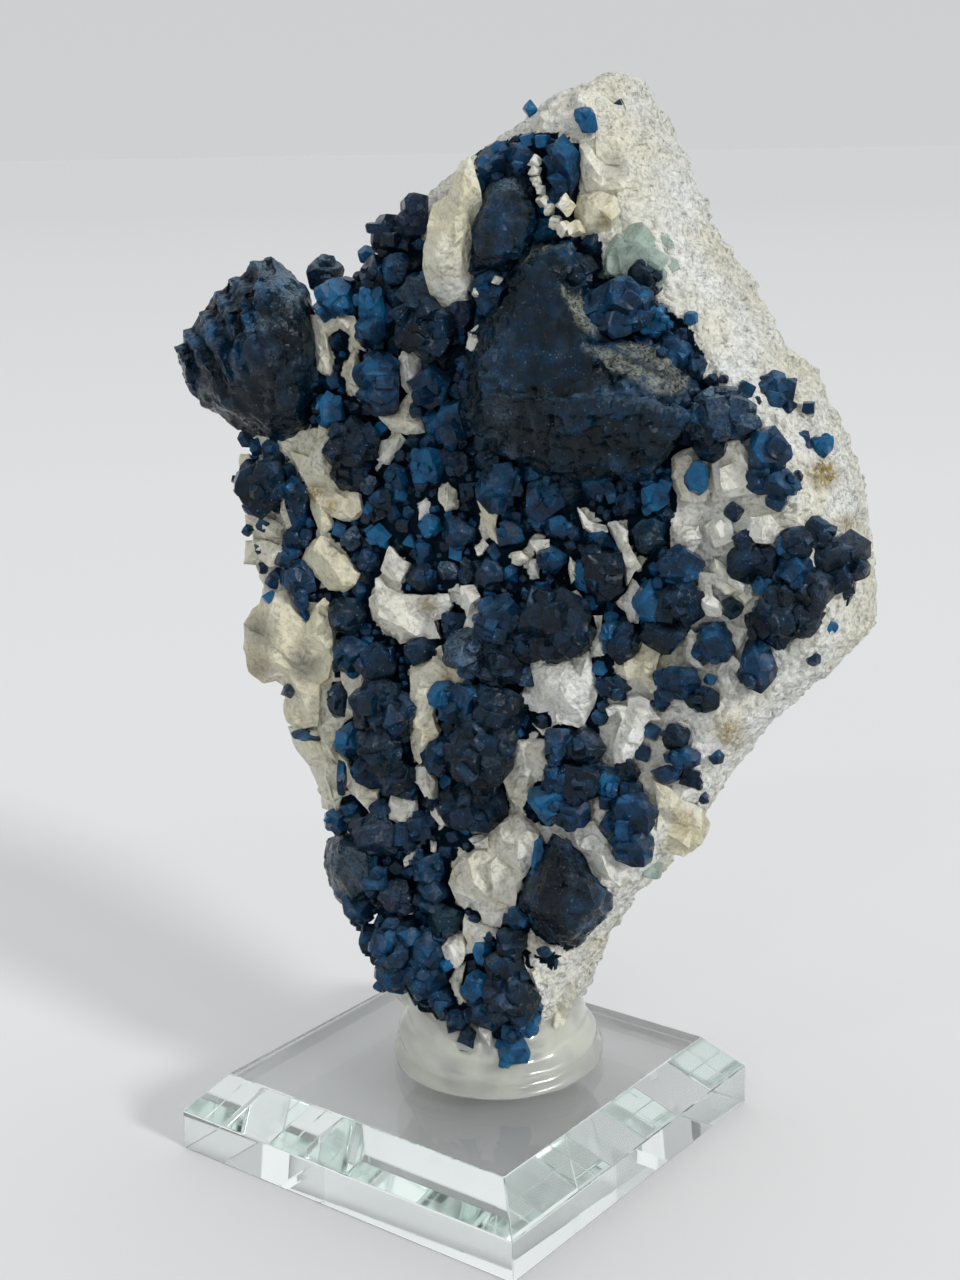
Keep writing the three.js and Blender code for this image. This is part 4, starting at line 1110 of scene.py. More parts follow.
@dataclass(frozen=True)
class Stage:
    """The camera at the photograph's place, a plain pale floor and soft lights."""

    eye: tuple[float, float, float] = (134.717, -171.789, 118.6)
    azimuth: float = math.radians(37.5)
    pitch: float = math.radians(14.39)
    roll: float = math.radians(-1.02)
    frame_long_side: float = 1280.0
    focal_pixels: float = 1923.0
    sensor: float = 36.0
    floor_drop: float = 0.05
    floor_size: float = 60000.0
    # The sky's colours, from the horizon (0) to straight up (1).
    sky: Sequence[tuple[float, Colour]] = (
        (0.0, (0.625, 0.635, 0.64)), (0.07, (0.62, 0.63, 0.635)), (0.3, (0.5, 0.51, 0.515)),
        (0.6, (0.97, 0.98, 0.985)), (1.0, (0.97, 0.98, 0.985)),
    )
    dim_side: float = 0.62
    key_strength: float = 1.6
    key_angle: float = 10.0
    key_place: tuple[float, float, float] = (640, 600, 470)
    bounces: int = 32
    aim_height: float = 60.0
    glint_size: float = 28.0
    glint_power: float = 0.12
    glints: Sequence[tuple[float, float, float]] = (
        (190, 520, 380), (-260, 480, 420), (420, 300, 380), (-120, 380, 540),
    )

    def axes(self) -> tuple[Vector, Vector, Vector]:
        """Works out how the camera is turned.

        Returns:
            Its right, up and forward directions.
        """
        turn = Matrix.Rotation(self.azimuth, 3, "Z")
        forward = turn @ Vector((0.0, math.cos(self.pitch), -math.sin(self.pitch)))
        level = turn @ Vector((1.0, 0.0, 0.0))
        rise = turn @ Vector((0.0, math.sin(self.pitch), math.cos(self.pitch)))
        right = math.cos(self.roll) * level + math.sin(self.roll) * rise
        return right, math.cos(self.roll) * rise - math.sin(self.roll) * level, forward

    def add_camera(self) -> None:
        """Puts the camera where the photograph was taken from."""
        right, up, forward = self.axes()
        lens = bpy.data.cameras.new("camera")
        lens.sensor_width = self.sensor
        lens.lens = self.focal_pixels / self.frame_long_side * self.sensor
        lens.clip_start = 0.01
        camera = bpy.data.objects.new("camera", lens)
        turn = Matrix((right, up, -forward)).transposed().to_4x4()
        camera.matrix_world = Matrix.Translation(Vector(self.eye) * MM) @ turn
        bpy.context.scene.collection.objects.link(camera)
        bpy.context.scene.camera = camera

    def add_floor(self) -> None:
        """Lays the floor just under the plate."""
        deselect_all()
        bpy.ops.mesh.primitive_plane_add(size=self.floor_size * MM, location=(0.0, 0.0, -self.floor_drop * MM))
        floor = bpy.context.object
        floor.name = "floor"
        FloorFinish().sheet().dress(floor)

    def toward(self, right: float, up: float, near: float) -> Vector:
        """Turns a direction or place seen from the camera's side into the row frame.

        Args:
            right: How far to the camera's right.
            up: How far up.
            near: How far towards the camera.

        Returns:
            The direction or place, in the same unit.
        """
        return Matrix.Rotation(self.azimuth, 3, "Z") @ Vector((right, -near, up))

    def add_lamp(self, name: str, place: Vector, lamp: bpy.types.Light) -> None:
        """Hangs a lamp so that it looks at the specimen's middle.

        Args:
            name: The light's name.
            place: Where it hangs, in millimetres.
            lamp: The lamp.
        """
        light = bpy.data.objects.new(name, lamp)
        light.location = place * MM
        aim = Vector((0.0, 0.0, self.aim_height)) - place
        light.rotation_euler = aim.to_track_quat("-Z", "Y").to_euler()
        bpy.context.scene.collection.objects.link(light)

    def add_lamps(self) -> None:
        """Adds the broad soft key light and the small ones for the glints."""
        key = bpy.data.lights.new("soft_key", "SUN")
        key.energy = self.key_strength
        key.angle = math.radians(self.key_angle)
        right, near, up = self.key_place
        self.add_lamp("soft_key", self.toward(right, up, near), key)
        for place in self.glints:
            glint = bpy.data.lights.new("glint", "AREA")
            glint.size = self.glint_size * MM
            glint.energy = self.glint_power
            self.add_lamp(glint.name, self.toward(*place), glint)

    def add_sky(self) -> None:
        """Fills the room with pale light: bright overhead, dim on the camera's side so that faces gleam."""
        world = bpy.data.worlds.new("soft_room")
        world.use_nodes = True
        nodes = Nodes(world.node_tree)
        place = nodes.add("TexCoord").outputs["Generated"]
        parts = nodes.add("SeparateXYZ")
        nodes.feed(parts, Vector=place)
        height = parts.outputs["Z"]
        facing = nodes.vector("DOT_PRODUCT", place, self.toward(0.0, 0.0, 1.0)).outputs["Value"]
        dimmed = nodes.spread(height, 0.2, 0.4, 0.0, 1.0 - self.dim_side)
        dimmed = nodes.times(nodes.spread(facing, 0.0, 0.5), dimmed)
        nodes.feed(world.node_tree.nodes["Background"],
                   Color=nodes.ramp(height, self.sky), Strength=nodes.math("SUBTRACT", 1.0, dimmed))
        bpy.context.scene.world = world

    def build(self) -> None:
        """Adds the camera, the floor and the lights."""
        bpy.context.scene.view_settings.view_transform = "Standard"
        for kind in ("max", "transmission", "glossy"):
            setattr(bpy.context.scene.cycles, f"{kind}_bounces", self.bounces)
        self.add_camera()
        self.add_floor()
        self.add_sky()
        self.add_lamps()


@dataclass(frozen=True)
class CrystalForm:
    """A crystal of about one unit's radius, cut from a ball by flat planes."""

    cube: float
    octahedron: float
    dodecahedron: float
    seed: int
    rounds: int = 2
    bevel: float = 0.0
    wobble: float = 0.06
    ball: float = 1.12
    farthest_cut: float = 1.1
    merge: float = 0.03
    flat_angle: float = math.radians(6.0)

    def planes(self) -> list[tuple[Vector, float]]:
        """Chooses the cutting planes.

        Returns:
            Outward directions with their distances.
        """
        chance = random.Random(self.seed)
        families = (
            (self.cube, [(1, 0, 0), (0, 1, 0), (0, 0, 1)]),
            (self.octahedron, [(1, 1, 1), (-1, 1, 1), (1, -1, 1), (1, 1, -1)]),
            (self.dodecahedron, [(1, 1, 0), (1, -1, 0), (1, 0, 1), (1, 0, -1), (0, 1, 1), (0, 1, -1)]),
        )
        planes = []
        for distance, directions in families:
            for direction in directions:
                for sign in (1.0, -1.0):
                    tilt = Vector(chance.gauss(0.0, self.wobble) for _ in range(3))
                    outward = (sign * Vector(direction).normalized() + tilt).normalized()
                    planes.append((outward, distance * (1.0 + chance.gauss(0.0, self.wobble * 0.8))))
        return planes

    def build(self, name: str) -> bpy.types.Object:
        """Cuts the crystal.

        Args:
            name: The template's name.

        Returns:
            The template object.
        """
        deselect_all()
        bpy.ops.mesh.primitive_ico_sphere_add(subdivisions=self.rounds, radius=self.ball)
        form = bpy.context.object
        form.name = name
        with editing(form):
            for outward, distance in self.planes():
                if distance < self.farthest_cut:
                    bpy.ops.mesh.select_all(action="SELECT")
                    bpy.ops.mesh.bisect(
                        plane_co=outward * distance, plane_no=outward, use_fill=True, clear_outer=True
                    )
            bpy.ops.mesh.select_all(action="SELECT")
            bpy.ops.mesh.remove_doubles(threshold=self.merge)
            bpy.ops.mesh.dissolve_limited(angle_limit=self.flat_angle)
            if self.bevel:
                bpy.ops.mesh.bevel(offset=self.bevel, segments=1, affect="EDGES", clamp_overlap=True)
            face_outwards()
        return form


@dataclass
class Mould:
    """The points and faces of a template, kept for copying."""

    points: np.ndarray
    faces: list[tuple[int, ...]]

    @classmethod
    def cast(cls, form: CrystalForm) -> "Mould":
        """Builds a form, keeps its mesh and removes its object.

        Args:
            form: The form to cut.

        Returns:
            The mould.
        """
        template = form.build("template")
        mould = cls(vertices_of(template), [tuple(face.vertices) for face in template.data.polygons])
        bpy.data.objects.remove(template, do_unlink=True)
        return mould


@dataclass
class Heap:
    """Many crystals gathered in one mesh, each a copy of a mould."""

    points: list[np.ndarray] = field(default_factory=list)
    faces: list[tuple[int, ...]] = field(default_factory=list)
    casts: list[np.ndarray] = field(default_factory=list)
    count: int = 0

    def add(self, mould: Mould, turn: Matrix, halves: Sequence[float], centre: Sequence[float],
            cast: Sequence[float]) -> None:
        """Adds one crystal, with painted light on its outer side and top and painted shade at its foot.

        Args:
            mould: Its template.
            turn: How the template is turned.
            halves: Its half sizes along u, n and z.
            centre: Its middle, as (u, -n, z).
            cast: Its tone, frost and hue.
        """
        turned = mould.points @ np.array(turn.transposed())
        # Painted light and shade: the alpha lift is high on the crystal's outer side and top and low at its foot,
        # where the blue material paints shade.
        lift = np.clip(0.5 - 0.5 * turned[:, 1] + 0.2 * turned[:, 2], 0.0, 1.0)
        self.points.append(turned * np.array(halves) + np.array(centre))
        self.faces.extend(tuple(v + self.count for v in face) for face in mould.faces)
        self.casts.append(np.column_stack((np.tile(np.array(cast), (len(turned), 1)), lift)))
        self.count += len(turned)

    def to_object(self, name: str) -> bpy.types.Object:
        """Makes one object of all the crystals.

        Args:
            name: The object's name.

        Returns:
            The object, in the slab's frame.
        """
        piece = new_mesh(name, np.vstack(self.points), self.faces)
        paint(piece, "cast", np.vstack(self.casts))
        return piece


@dataclass
class RockSlab:
    """The pale kite-shaped slab: its own broken surface and the white blocks between the crystals."""

    slab: SlabFrame
    widest_n: float = -4.0
    front_depth: float = 13.0
    front_inset: float = 4.0
    back_n: float = -12.0
    back_taper: float = 0.06
    # How far past a crystal's edge the rock is painted near-black navy, for the blue crust and the shade in the
    # gaps.
    crust_and_shade_reach: float = 0.55
    middle: Place = (8.0, 66.0)
    lowest_front_n: float = 3.0
    first_voxel: float = 1.1
    voxel: float = 0.55
    facet_gap: float = 1.5
    root: float = -7.0
    root_pull: float = 0.16
    bead_lift: float = 1.8
    blade_root: float = -1.5
    blade_level: float = 4.4
    peak_tries: int = 60
    block_tries: int = 40
    smallest_block: float = 0.8
    largest_block: float = 3.0
    most_blocks: int = 4
    swell: float = 1.1
    swell_size: float = 14.0
    body_relief: Sequence[Relief] = (
        Relief(Pattern.GRAINS, 1.5, 0.5), Relief(Pattern.CLOUDS, 5.0, 0.4, 3), Relief(Pattern.CLOUDS, 1.1, 0.24),
        Relief(Pattern.CHIPS, 2.4, 0.4),
    )
    back_relief: Sequence[Relief] = (
        Relief(Pattern.GRAINS, 5.5, 2.6), Relief(Pattern.CLOUDS, 9.0, 1.2), Relief(Pattern.CHIPS, 7.0, 1.6),
    )
    block_relief: Sequence[Relief] = (Relief(Pattern.CLOUDS, 1.3, 0.16, 3), Relief(Pattern.CHIPS, 1.6, 0.12))
    stain_edge: float = 1.5
    foot_blur: float = 0.3
    crust_margin: float = -0.3
    warm_size: float = 16.0
    warm_side: float = -8.0
    peak_inset: float = 0.2
    peak_slope: float = 0.3
    peak_spread: Place = (-0.5, 0.75)
    rim_spread: Place = (-0.7, 0.1)
    patch_level: Place = (0.7, 1.6)
    bead_warmth: float = 0.1
    blade_warmth: float = 0.85
    cuts: int = 3
    seed: int = 41
    outline: Region = field(default_factory=lambda: Region(ROCK_OUTLINE))
    crust: Region = field(default_factory=lambda: Region(CRUST_REGION))
    patches: list[tuple[float, Region]] = field(
        default_factory=lambda: [(warm, Region(outline)) for warm, outline in WHITE_PATCHES]
    )

    @property
    def front_n(self) -> float:
        """The depth of the slab's flat front."""
        return self.widest_n + self.front_depth

    def rounded(self, places: np.ndarray) -> np.ndarray:
        """How far the rock's front stands out, with its edge rounded as a quarter of an ellipse.

        Args:
            places: Rows of (u, z), at their true place.

        Returns:
            One depth n for each place.
        """
        inset = np.maximum(self.outline.depth(places), 0.0)
        rise = np.minimum(inset / self.front_inset, 1.0)
        return self.widest_n + self.front_depth * np.sqrt(1.0 - (1.0 - rise) ** 2)

    def front(self, places: np.ndarray) -> np.ndarray:
        """The depth of the rock's face at each place, with its long soft swells.

        Args:
            places: Rows of (u, z), at their true place.

        Returns:
            One depth n for each place.
        """
        points = np.column_stack((places, np.zeros(len(places))))
        return self.rounded(places) + self.swell * fractal(points, self.swell_size, 2)

    def seats(self, places: np.ndarray, lifts: np.ndarray) -> np.ndarray:
        """Finds where things read from the photograph sit on the rock.

        Args:
            places: Rows of (u, z) on the reading plane.
            lifts: How far the middle of each is before the rock's front.

        Returns:
            Rows of (u, -n, z).
        """
        near = np.column_stack(self.slab.along_sight(places[:, 0], places[:, 1], self.front_n + lifts))
        depths = np.maximum(self.front(near), self.lowest_front_n) + lifts
        true_u, true_z = self.slab.along_sight(places[:, 0], places[:, 1], depths)
        return np.column_stack((true_u, -depths, true_z))

    def seat(self, u: float, z: float, lift: float) -> np.ndarray:
        """Where one thing read from the photograph sits, as (u, -n, z)."""
        return self.seats(np.array([[u, z]]), np.array([lift]))[0]

    def pull_in(self, rows: np.ndarray, share: object) -> None:
        """Draws rows of (u, -n, z) towards the rock's middle by a share of their distance."""
        for axis, middle in ((0, self.middle[0]), (2, self.middle[1])):
            rows[:, axis] += share * (middle - rows[:, axis])

    def in_patches(self, places: np.ndarray) -> np.ndarray:
        """How deep each place is inside any white patch, below zero outside all of them."""
        return np.max([region.depth(places) for _, region in self.patches], axis=0)

    def stains(self, places: np.ndarray) -> np.ndarray:
        """How brown and how smoky each place is.

        Args:
            places: Rows of (u, z) on the reading plane.

        Returns:
            Rows of four numbers, ready to paint.
        """
        none = np.zeros(len(places))
        brown, smoke = (spots(places, rows, self.stain_edge) for rows in (BROWN_SPOTS, SMOKE_SPOTS))
        return np.column_stack((brown, smoke, none, none))

    def build_body(self) -> bpy.types.Object:
        """Builds the slab's own body, from its outline.

        Returns:
            The closed mesh, in the slab's frame.
        """
        points = [(u, -self.front_n, z) for u, z in ROCK_OUTLINE]
        body = new_mesh("matrix_rock", points, [list(range(len(points)))])
        with editing(body):
            bpy.ops.mesh.extrude_region_move(
                TRANSFORM_OT_translate={"value": (0.0, self.front_n - self.back_n, 0.0)}
            )
            for (u, n, z), (out_u, out_n, out_z) in BACK_BREAKS:
                bpy.ops.mesh.select_all(action="SELECT")
                bpy.ops.mesh.bisect(
                    plane_co=(u, -n, z), plane_no=Vector((out_u, -out_n, out_z)).normalized(),
                    use_fill=True, clear_outer=True,
                )
            face_outwards()
        apply_modifier(body, "REMESH", mode="VOXEL", voxel_size=self.first_voxel)
        rows = vertices_of(body)
        share = np.clip((-rows[:, 1] - self.widest_n) / self.front_depth, 0.0, 1.0)
        face = self.front(rows[:, (0, 2)])
        behind = np.clip((self.widest_n + rows[:, 1]) / (self.widest_n - self.back_n), 0.0, 1.0)
        rows[:, 1] = np.where(share > 0.0, -(self.widest_n + share * (face - self.widest_n)), rows[:, 1])
        narrower = 1.0 - self.back_taper * behind ** 1.5
        for axis, middle in ((0, self.middle[0]), (2, self.middle[1])):
            rows[:, axis] = middle + (rows[:, axis] - middle) * narrower
        place_vertices(body, rows)
        apply_modifier(body, "REMESH", mode="VOXEL", voxel_size=self.voxel)
        return body

    def roughen_body(self, body: bpy.types.Object, crystals: Sequence["Crystal"]) -> None:
        """Breaks the slab's surface up and paints the crust and painted shade round the crystals, and where it is
        broken or stained.

        Args:
            body: The slab's body.
            crystals: The blue crystals, round whose feet the rock is painted dark for the crust and the shade in the
                gaps.
        """
        rows = vertices_of(body)
        normals = normals_of(body)
        places = self.slab.to_reading(rows)
        facing = np.clip(-normals[:, 1] * 2.0, 0.0, 1.0)
        gaps = np.full(len(rows), np.inf)
        for crystal in crystals:
            reach = np.hypot(places[:, 0] - crystal.u, places[:, 1] - crystal.z) - crystal.radius
            gaps = np.minimum(gaps, reach)
        # Near-black navy round the crystals' feet on front faces: the blue crust and painted shade in the gaps
        # between crystals.
        crust_and_gap_shade = np.clip((self.crust_and_shade_reach - gaps) / self.foot_blur, 0.0, 1.0) * facing
        crust_and_gap_shade *= self.crust.depth(places) > self.crust_margin
        back = np.clip(normals[:, 1] * 1.6, 0.0, 1.0)
        broken = np.clip(1.0 - 0.55 * facing, 0.0, 1.0)
        offsets = sum(layer.over(rows) for layer in self.body_relief)
        offsets += back * sum(layer.over(rows) for layer in self.back_relief)
        move_out(body, offsets)
        warm = 0.3 + 0.4 * fractal(rows, self.warm_size, 2) + 0.25 * (places[:, 0] < self.warm_side)
        warm = np.clip(warm, 0.0, 1.0)
        zeros = np.zeros(len(rows))
        paint(body, "ground", np.column_stack((warm, broken, crust_and_gap_shade, zeros)))
        paint(body, "stain", self.stains(places) * (normals[:, 1] < 0.2)[:, None])

    def roof(self, region: Region, foot: float, level: float, chance: random.Random) -> bpy.types.Object:
        """Raises a patch as a block whose top is broken into flat facets.

        Args:
            region: The patch, on the reading plane.
            foot: The lift of its foot.
            level: The lift of its rim.
            chance: The source of random numbers.

        Returns:
            The closed block, in the slab's frame.
        """
        peaks: list[tuple[float, float]] = []
        heights: list[float] = []
        for (u, z), depth in region.deepest(chance, self.peak_tries):
            if depth > self.peak_inset and all(math.hypot(u - a, z - b) > self.facet_gap for a, b in peaks):
                peaks.append((u, z))
                uneven = chance.uniform(*self.peak_spread) * (1.0 + self.peak_slope * depth)
                heights.append(level + self.peak_slope * min(depth, 2.5) + uneven)
        rim = len(region.corners)
        places = np.vstack([region.corners] + ([np.array(peaks)] if peaks else []))
        ring = [(i, (i + 1) % rim) for i in range(rim)]
        flat = geometry.delaunay_2d_cdt([Vector(p) for p in places], ring, [], 1, 1e-4)
        faces = [tuple(flat[3][v][0] for v in face) for face in flat[2]]
        lifts = np.array([level + chance.uniform(*self.rim_spread) for _ in range(rim)] + heights)
        top = self.seats(places, lifts)
        bottom = self.seats(region.corners, np.full(rim, foot))
        self.pull_in(bottom, self.root_pull)
        count = len(places)
        walls = [(i, j, count + j, count + i) for i, j in ring]
        piece = new_mesh("roof", np.vstack((top, bottom)), [*faces, *walls, tuple(range(count, count + rim))])
        with editing(piece):
            face_outwards()
        return piece

    def build_blocks(self) -> bpy.types.Object:
        """Builds the white and cream blocks that stand between the blue crystals.

        Returns:
            The closed blocks as one mesh, in the slab's frame.
        """
        chance = random.Random(self.seed)
        moulds = [Mould.cast(form) for form in (
            CrystalForm(0.62, 1.2, 0.86, 1, 1), CrystalForm(0.7, 0.78, 1.2, 2, 1),
            CrystalForm(0.6, 1.2, 1.2, 3, 1), CrystalForm(1.2, 0.62, 1.2, 4, 1, wobble=0.1),
        )]
        heap = Heap()
        roofs = []
        for warm, region in self.patches:
            level = chance.uniform(*self.patch_level)
            roofs.append(self.roof(region, self.root, level, chance))
            kept: list[tuple[float, float, float]] = []
            for (u, z), depth in region.deepest(chance, self.block_tries):
                size = min(depth * 1.05, self.largest_block)
                clear = all(math.hypot(u - a, z - b) > 0.8 * (size + c) for a, b, c in kept)
                if size > self.smallest_block and clear and len(kept) < self.most_blocks:
                    kept.append((u, z, size))
            for u, z, size in kept:
                seat = self.seat(u, z, level - 0.35 * size)
                halves = (size, size * chance.uniform(0.8, 1.1), size * chance.uniform(0.9, 1.15))
                heap.add(chance.choice(moulds), random_turn(chance), halves, seat, (warm, 0.0, 0.0))
        for u, z, size in BEADS:
            seat = self.seat(u, z, self.bead_lift)
            halves, cast = (size, 1.7 * size, size), (self.bead_warmth, 0.0, 0.0)
            heap.add(chance.choice(moulds), random_turn(chance), halves, seat, cast)
        roofs.append(self.roof(Region(CREAM_BLADE), self.blade_root, self.blade_level, chance))
        roofs.append(heap.to_object("blocks"))
        blocks = join_all(roofs, "matrix_blocks")
        with editing(blocks):
            bpy.ops.mesh.quads_convert_to_tris()
            bpy.ops.mesh.subdivide(number_cuts=self.cuts)
        return blocks

    def roughen_blocks(self, blocks: bpy.types.Object) -> None:
        """Gives the blocks a slightly etched surface and paints how cream each one is.

        Args:
            blocks: The white blocks.
        """
        rows = vertices_of(blocks)
        places = self.slab.to_reading(rows)
        move_out(blocks, sum(layer.over(rows) for layer in self.block_relief))
        warm = np.full(len(rows), 0.35)
        nearest = np.full(len(rows), -1.2)
        for share, region in (*self.patches, (self.blade_warmth, Region(CREAM_BLADE))):
            depth = region.depth(places)
            closer = depth > nearest
            warm[closer] = share
            nearest[closer] = depth[closer]
        zeros = np.zeros(len(rows))
        paint(blocks, "ground", np.column_stack((warm, zeros, zeros, zeros)))
        paint(blocks, "stain", self.stains(places))

    def build(self, crystals: Sequence["Crystal"]) -> None:
        """Builds both pieces of the matrix, dresses them and hands them to the frame.

        Args:
            crystals: The blue crystals that grow on it.
        """
        sheet = RockFinish().sheet()
        body = self.build_body()
        self.roughen_body(body, crystals)
        blocks = self.build_blocks()
        self.roughen_blocks(blocks)
        for piece in (body, blocks):
            settle(piece, self.slab, sheet, ["matrix"], smooth=20.0)


def random_turn(chance: random.Random) -> Matrix:
    """A random turn, even in all directions.

    Args:
        chance: The source of random numbers.

    Returns:
        The turn as a matrix of three by three.
    """
    axis = Vector(chance.gauss(0.0, 1.0) for _ in range(3)).normalized()
    return Matrix.Rotation(chance.uniform(0.0, math.tau), 3, axis)


def settle(piece: bpy.types.Object, slab: SlabFrame, sheet: Sheet, nodes: Sequence[str],
           smooth: float = 0.0) -> None:
    """Moves a finished mesh from the slab's frame to the row frame, dresses it and hides the CAD nodes that it
    stands for.

    Args:
        piece: The finished object.
        slab: The slab's frame.
        sheet: Its material.
        nodes: The CAD nodes that it replaces.
        smooth: The angle in degrees below which edges are shaded smooth, or 0 for flat faces.
    """
    piece.data.transform(slab.to_row())
    piece.data.update()
    if smooth:
        pick(piece)
        bpy.ops.object.shade_smooth_by_angle(angle=math.radians(smooth))
    sheet.dress(piece)
    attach(piece, "root")
    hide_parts(*nodes)
    LOG.info("%s: %d vertices", piece.name, len(piece.data.vertices))


@dataclass(frozen=True)
class Crystal:
    """One blue crystal: its place on the reading plane, half sizes, lift, tone, frost and hue."""

    u: float
    z: float
    half_u: float
    half_z: float
    cast: tuple[float, float, float]
    lift: float = 0.35

    @property
    def radius(self) -> float:
        """Its mean half size."""
        return math.sqrt(self.half_u * self.half_z)


@dataclass
class BlueCrust:
    """The blue crystals that crust the face: the named ones, the smaller ones on them and the fill."""

    rock: RockSlab
    seed: int = 7
    sprout_from: float = 1.3
    giant_from: float = 3.0
    cling: float = 0.5
    # Each pass of the fill: the smallest and largest radius, the tries, and how close two may stand.
    passes: Sequence[tuple[float, float, int, float]] = (
        (1.6, 2.7, 4000, 0.62), (0.9, 1.5, 8000, 0.6), (0.45, 0.75, 9000, 0.66),
    )
    layers: Sequence[tuple[str, float, float]] = (
        ("blue_crust_lower", 0.0, 52.0), ("blue_crust_middle", 52.0, 78.0), ("blue_crust_upper", 78.0, 200.0),
    )
    shares: Sequence[int] = (8, 8, 2, 1, 1, 1)
    patch_lift: float = 1.1
    inset: float = 0.35
    off_white: float = 0.85
    sprout_share: Place = (0.3, 0.55)
    sprout_sizes: Place = (0.45, 1.9)
    sprout_sink: float = 0.78
    small_shapes: Sequence[Sequence[float]] = (
        (0.66, 1.2, 0.9), (0.72, 0.8, 1.2), (0.62, 1.2, 0.86), (0.74, 0.74, 1.2), (0.64, 1.2, 1.2),
        (1.2, 0.66, 0.84), (0.7, 0.9, 0.84), (0.66, 0.92, 1.2),
    )
    large_shapes: Sequence[Sequence[float]] = (
        (0.7, 0.9, 0.93), (0.78, 0.76, 1.2), (0.68, 1.2, 0.86), (0.8, 0.8, 0.86), (0.66, 0.92, 0.95),
        (0.86, 0.74, 0.86), (0.76, 0.96, 0.8), (0.72, 0.82, 1.2),
    )
    named_nodes: Sequence[str] = tuple(
        [f"blue_cluster_0{i}" for i in range(1, 7)] + [f"blue_crystal_{i:02d}" for i in range(7, 19)]
    )

    def __post_init__(self) -> None:
        """Starts the random numbers and cuts the moulds."""
        self.chance = random.Random(self.seed)
        self.small = [
            Mould.cast(CrystalForm(*shape, seed=20 + i, rounds=1)) for i, shape in enumerate(self.small_shapes)
        ]
        self.large = [
            Mould.cast(CrystalForm(*shape, seed=50 + i, bevel=0.025, wobble=0.12))
            for i, shape in enumerate(self.large_shapes)
        ]

    def tinted(self, cast: Sequence[float], spread: float, lighter: float = 0.0) -> tuple[float, float, float]:
        """Varies a crystal's tone, frost and hue a little.

        Args:
            cast: What to start from.
            spread: How far it may vary.
            lighter: What is added to the tone.

        Returns:
            The new tone, frost and hue.
        """
        tone, frost, hue = cast
        tone += self.chance.uniform(-spread, spread) + lighter
        frost += self.chance.uniform(-0.5, 1.0) * spread
        hue += self.chance.uniform(-0.5, 0.5) * spread
        return (min(max(tone, 0.0), 1.0), min(max(frost, 0.0), 1.0), min(max(hue, 0.0), 1.0))

    def named(self) -> list[Crystal]:
        """Reads the crystals that stand out in the photograph.

        Returns:
            The crystals.
        """
        crystals = []
        for tone, rows in NAMED_CRYSTALS.items():
            for u, z, half_u, *rest in rows:
                half_z = rest[0] if rest else half_u
                on_white = self.rock.in_patches(np.array([[u, z]]))[0] > -0.3
                lift = Crystal.lift + self.patch_lift * on_white / half_u
                crystals.append(Crystal(u, z, half_u, half_z, self.tinted(tone.value, 0.06), lift))
        return crystals

    def fill(self, taken: Sequence[Crystal]) -> list[Crystal]:
        """Fills the crust between the named crystals with smaller ones.

        Args:
            taken: The crystals that are there already.

        Returns:
            The new crystals.
        """
        rows = [(c.u, c.z, c.radius) for c in taken]
        hosts = [c for c in taken if c.radius > self.giant_from]
        crystals = []
        for smallest, largest, tries, gap in self.passes:
            places = self.rock.outline.samples(self.chance, tries)
            room = self.rock.crust.depth(places)
            white = self.rock.in_patches(places)
            for (u, z), inside, over in zip(places.tolist(), room, white):
                radius = self.chance.uniform(smallest, largest)
                beside = min(math.hypot(c.u - u, c.z - z) - c.radius for c in hosts) < self.cling
                if (inside < self.inset * radius and not beside) or over > -self.off_white * radius:
                    continue
                near = np.array(rows)
                if np.any(np.hypot(near[:, 0] - u, near[:, 1] - z) < gap * (near[:, 2] + radius)):
                    continue
                tone = self.chance.choices(list(Tone), self.shares)[0]
                lighter = 0.25 * min(max(1.0 + over / 3.0, 0.0), 1.0)
                half_z = radius * self.chance.uniform(0.8, 1.25)
                crystals.append(Crystal(u, z, radius, half_z, self.tinted(tone.value, 0.12, lighter), -0.1))
                rows.append((u, z, radius))
        return crystals

    def add_body(self, heap: Heap, crystal: Crystal, moulds: Sequence[Mould]) -> np.ndarray:
        """Adds one crystal to the heap.

        Args:
            heap: Where it goes.
            crystal: The crystal.
            moulds: The templates to choose from.

        Returns:
            Its middle, as (u, -n, z).
        """
        deep = crystal.radius * self.chance.uniform(0.85, 1.0)
        seat = self.rock.seat(crystal.u, crystal.z, crystal.lift * deep)
        halves = (crystal.half_u, deep, crystal.half_z)
        heap.add(self.chance.choice(moulds), random_turn(self.chance), halves, seat, crystal.cast)
        return seat

    def add_sprouts(self, heap: Heap, crystal: Crystal, seat: np.ndarray) -> None:
        """Sets smaller crystals in a larger one's outer side, but not over the white patches.

        Args:
            heap: Where they go.
            crystal: The crystal that carries them.
            seat: Its middle, as (u, -n, z).
        """
        fewest, rate = (3, 2.6) if crystal.radius > self.giant_from else (1, 1.5)
        count = int(fewest + rate * crystal.radius)
        outs = np.array([[self.chance.gauss(0.0, 1.0) for _ in range(3)] for _ in range(count)])
        outs /= np.linalg.norm(outs, axis=1)[:, None]
        outs[:, 1] = -np.abs(outs[:, 1])
        sizes = np.array([self.chance.uniform(*self.sprout_share) for _ in outs]) * crystal.radius
        sizes = np.clip(sizes, *self.sprout_sizes)
        reach = 1.0 - self.sprout_sink * sizes / crystal.radius
        centres = seat + outs * np.array((crystal.half_u, crystal.radius, crystal.half_z)) * reach[:, None]
        over = self.rock.in_patches(self.rock.slab.to_reading(centres))
        for out, size, centre, white in zip(outs, sizes, centres, over):
            if white < -0.2 * size:
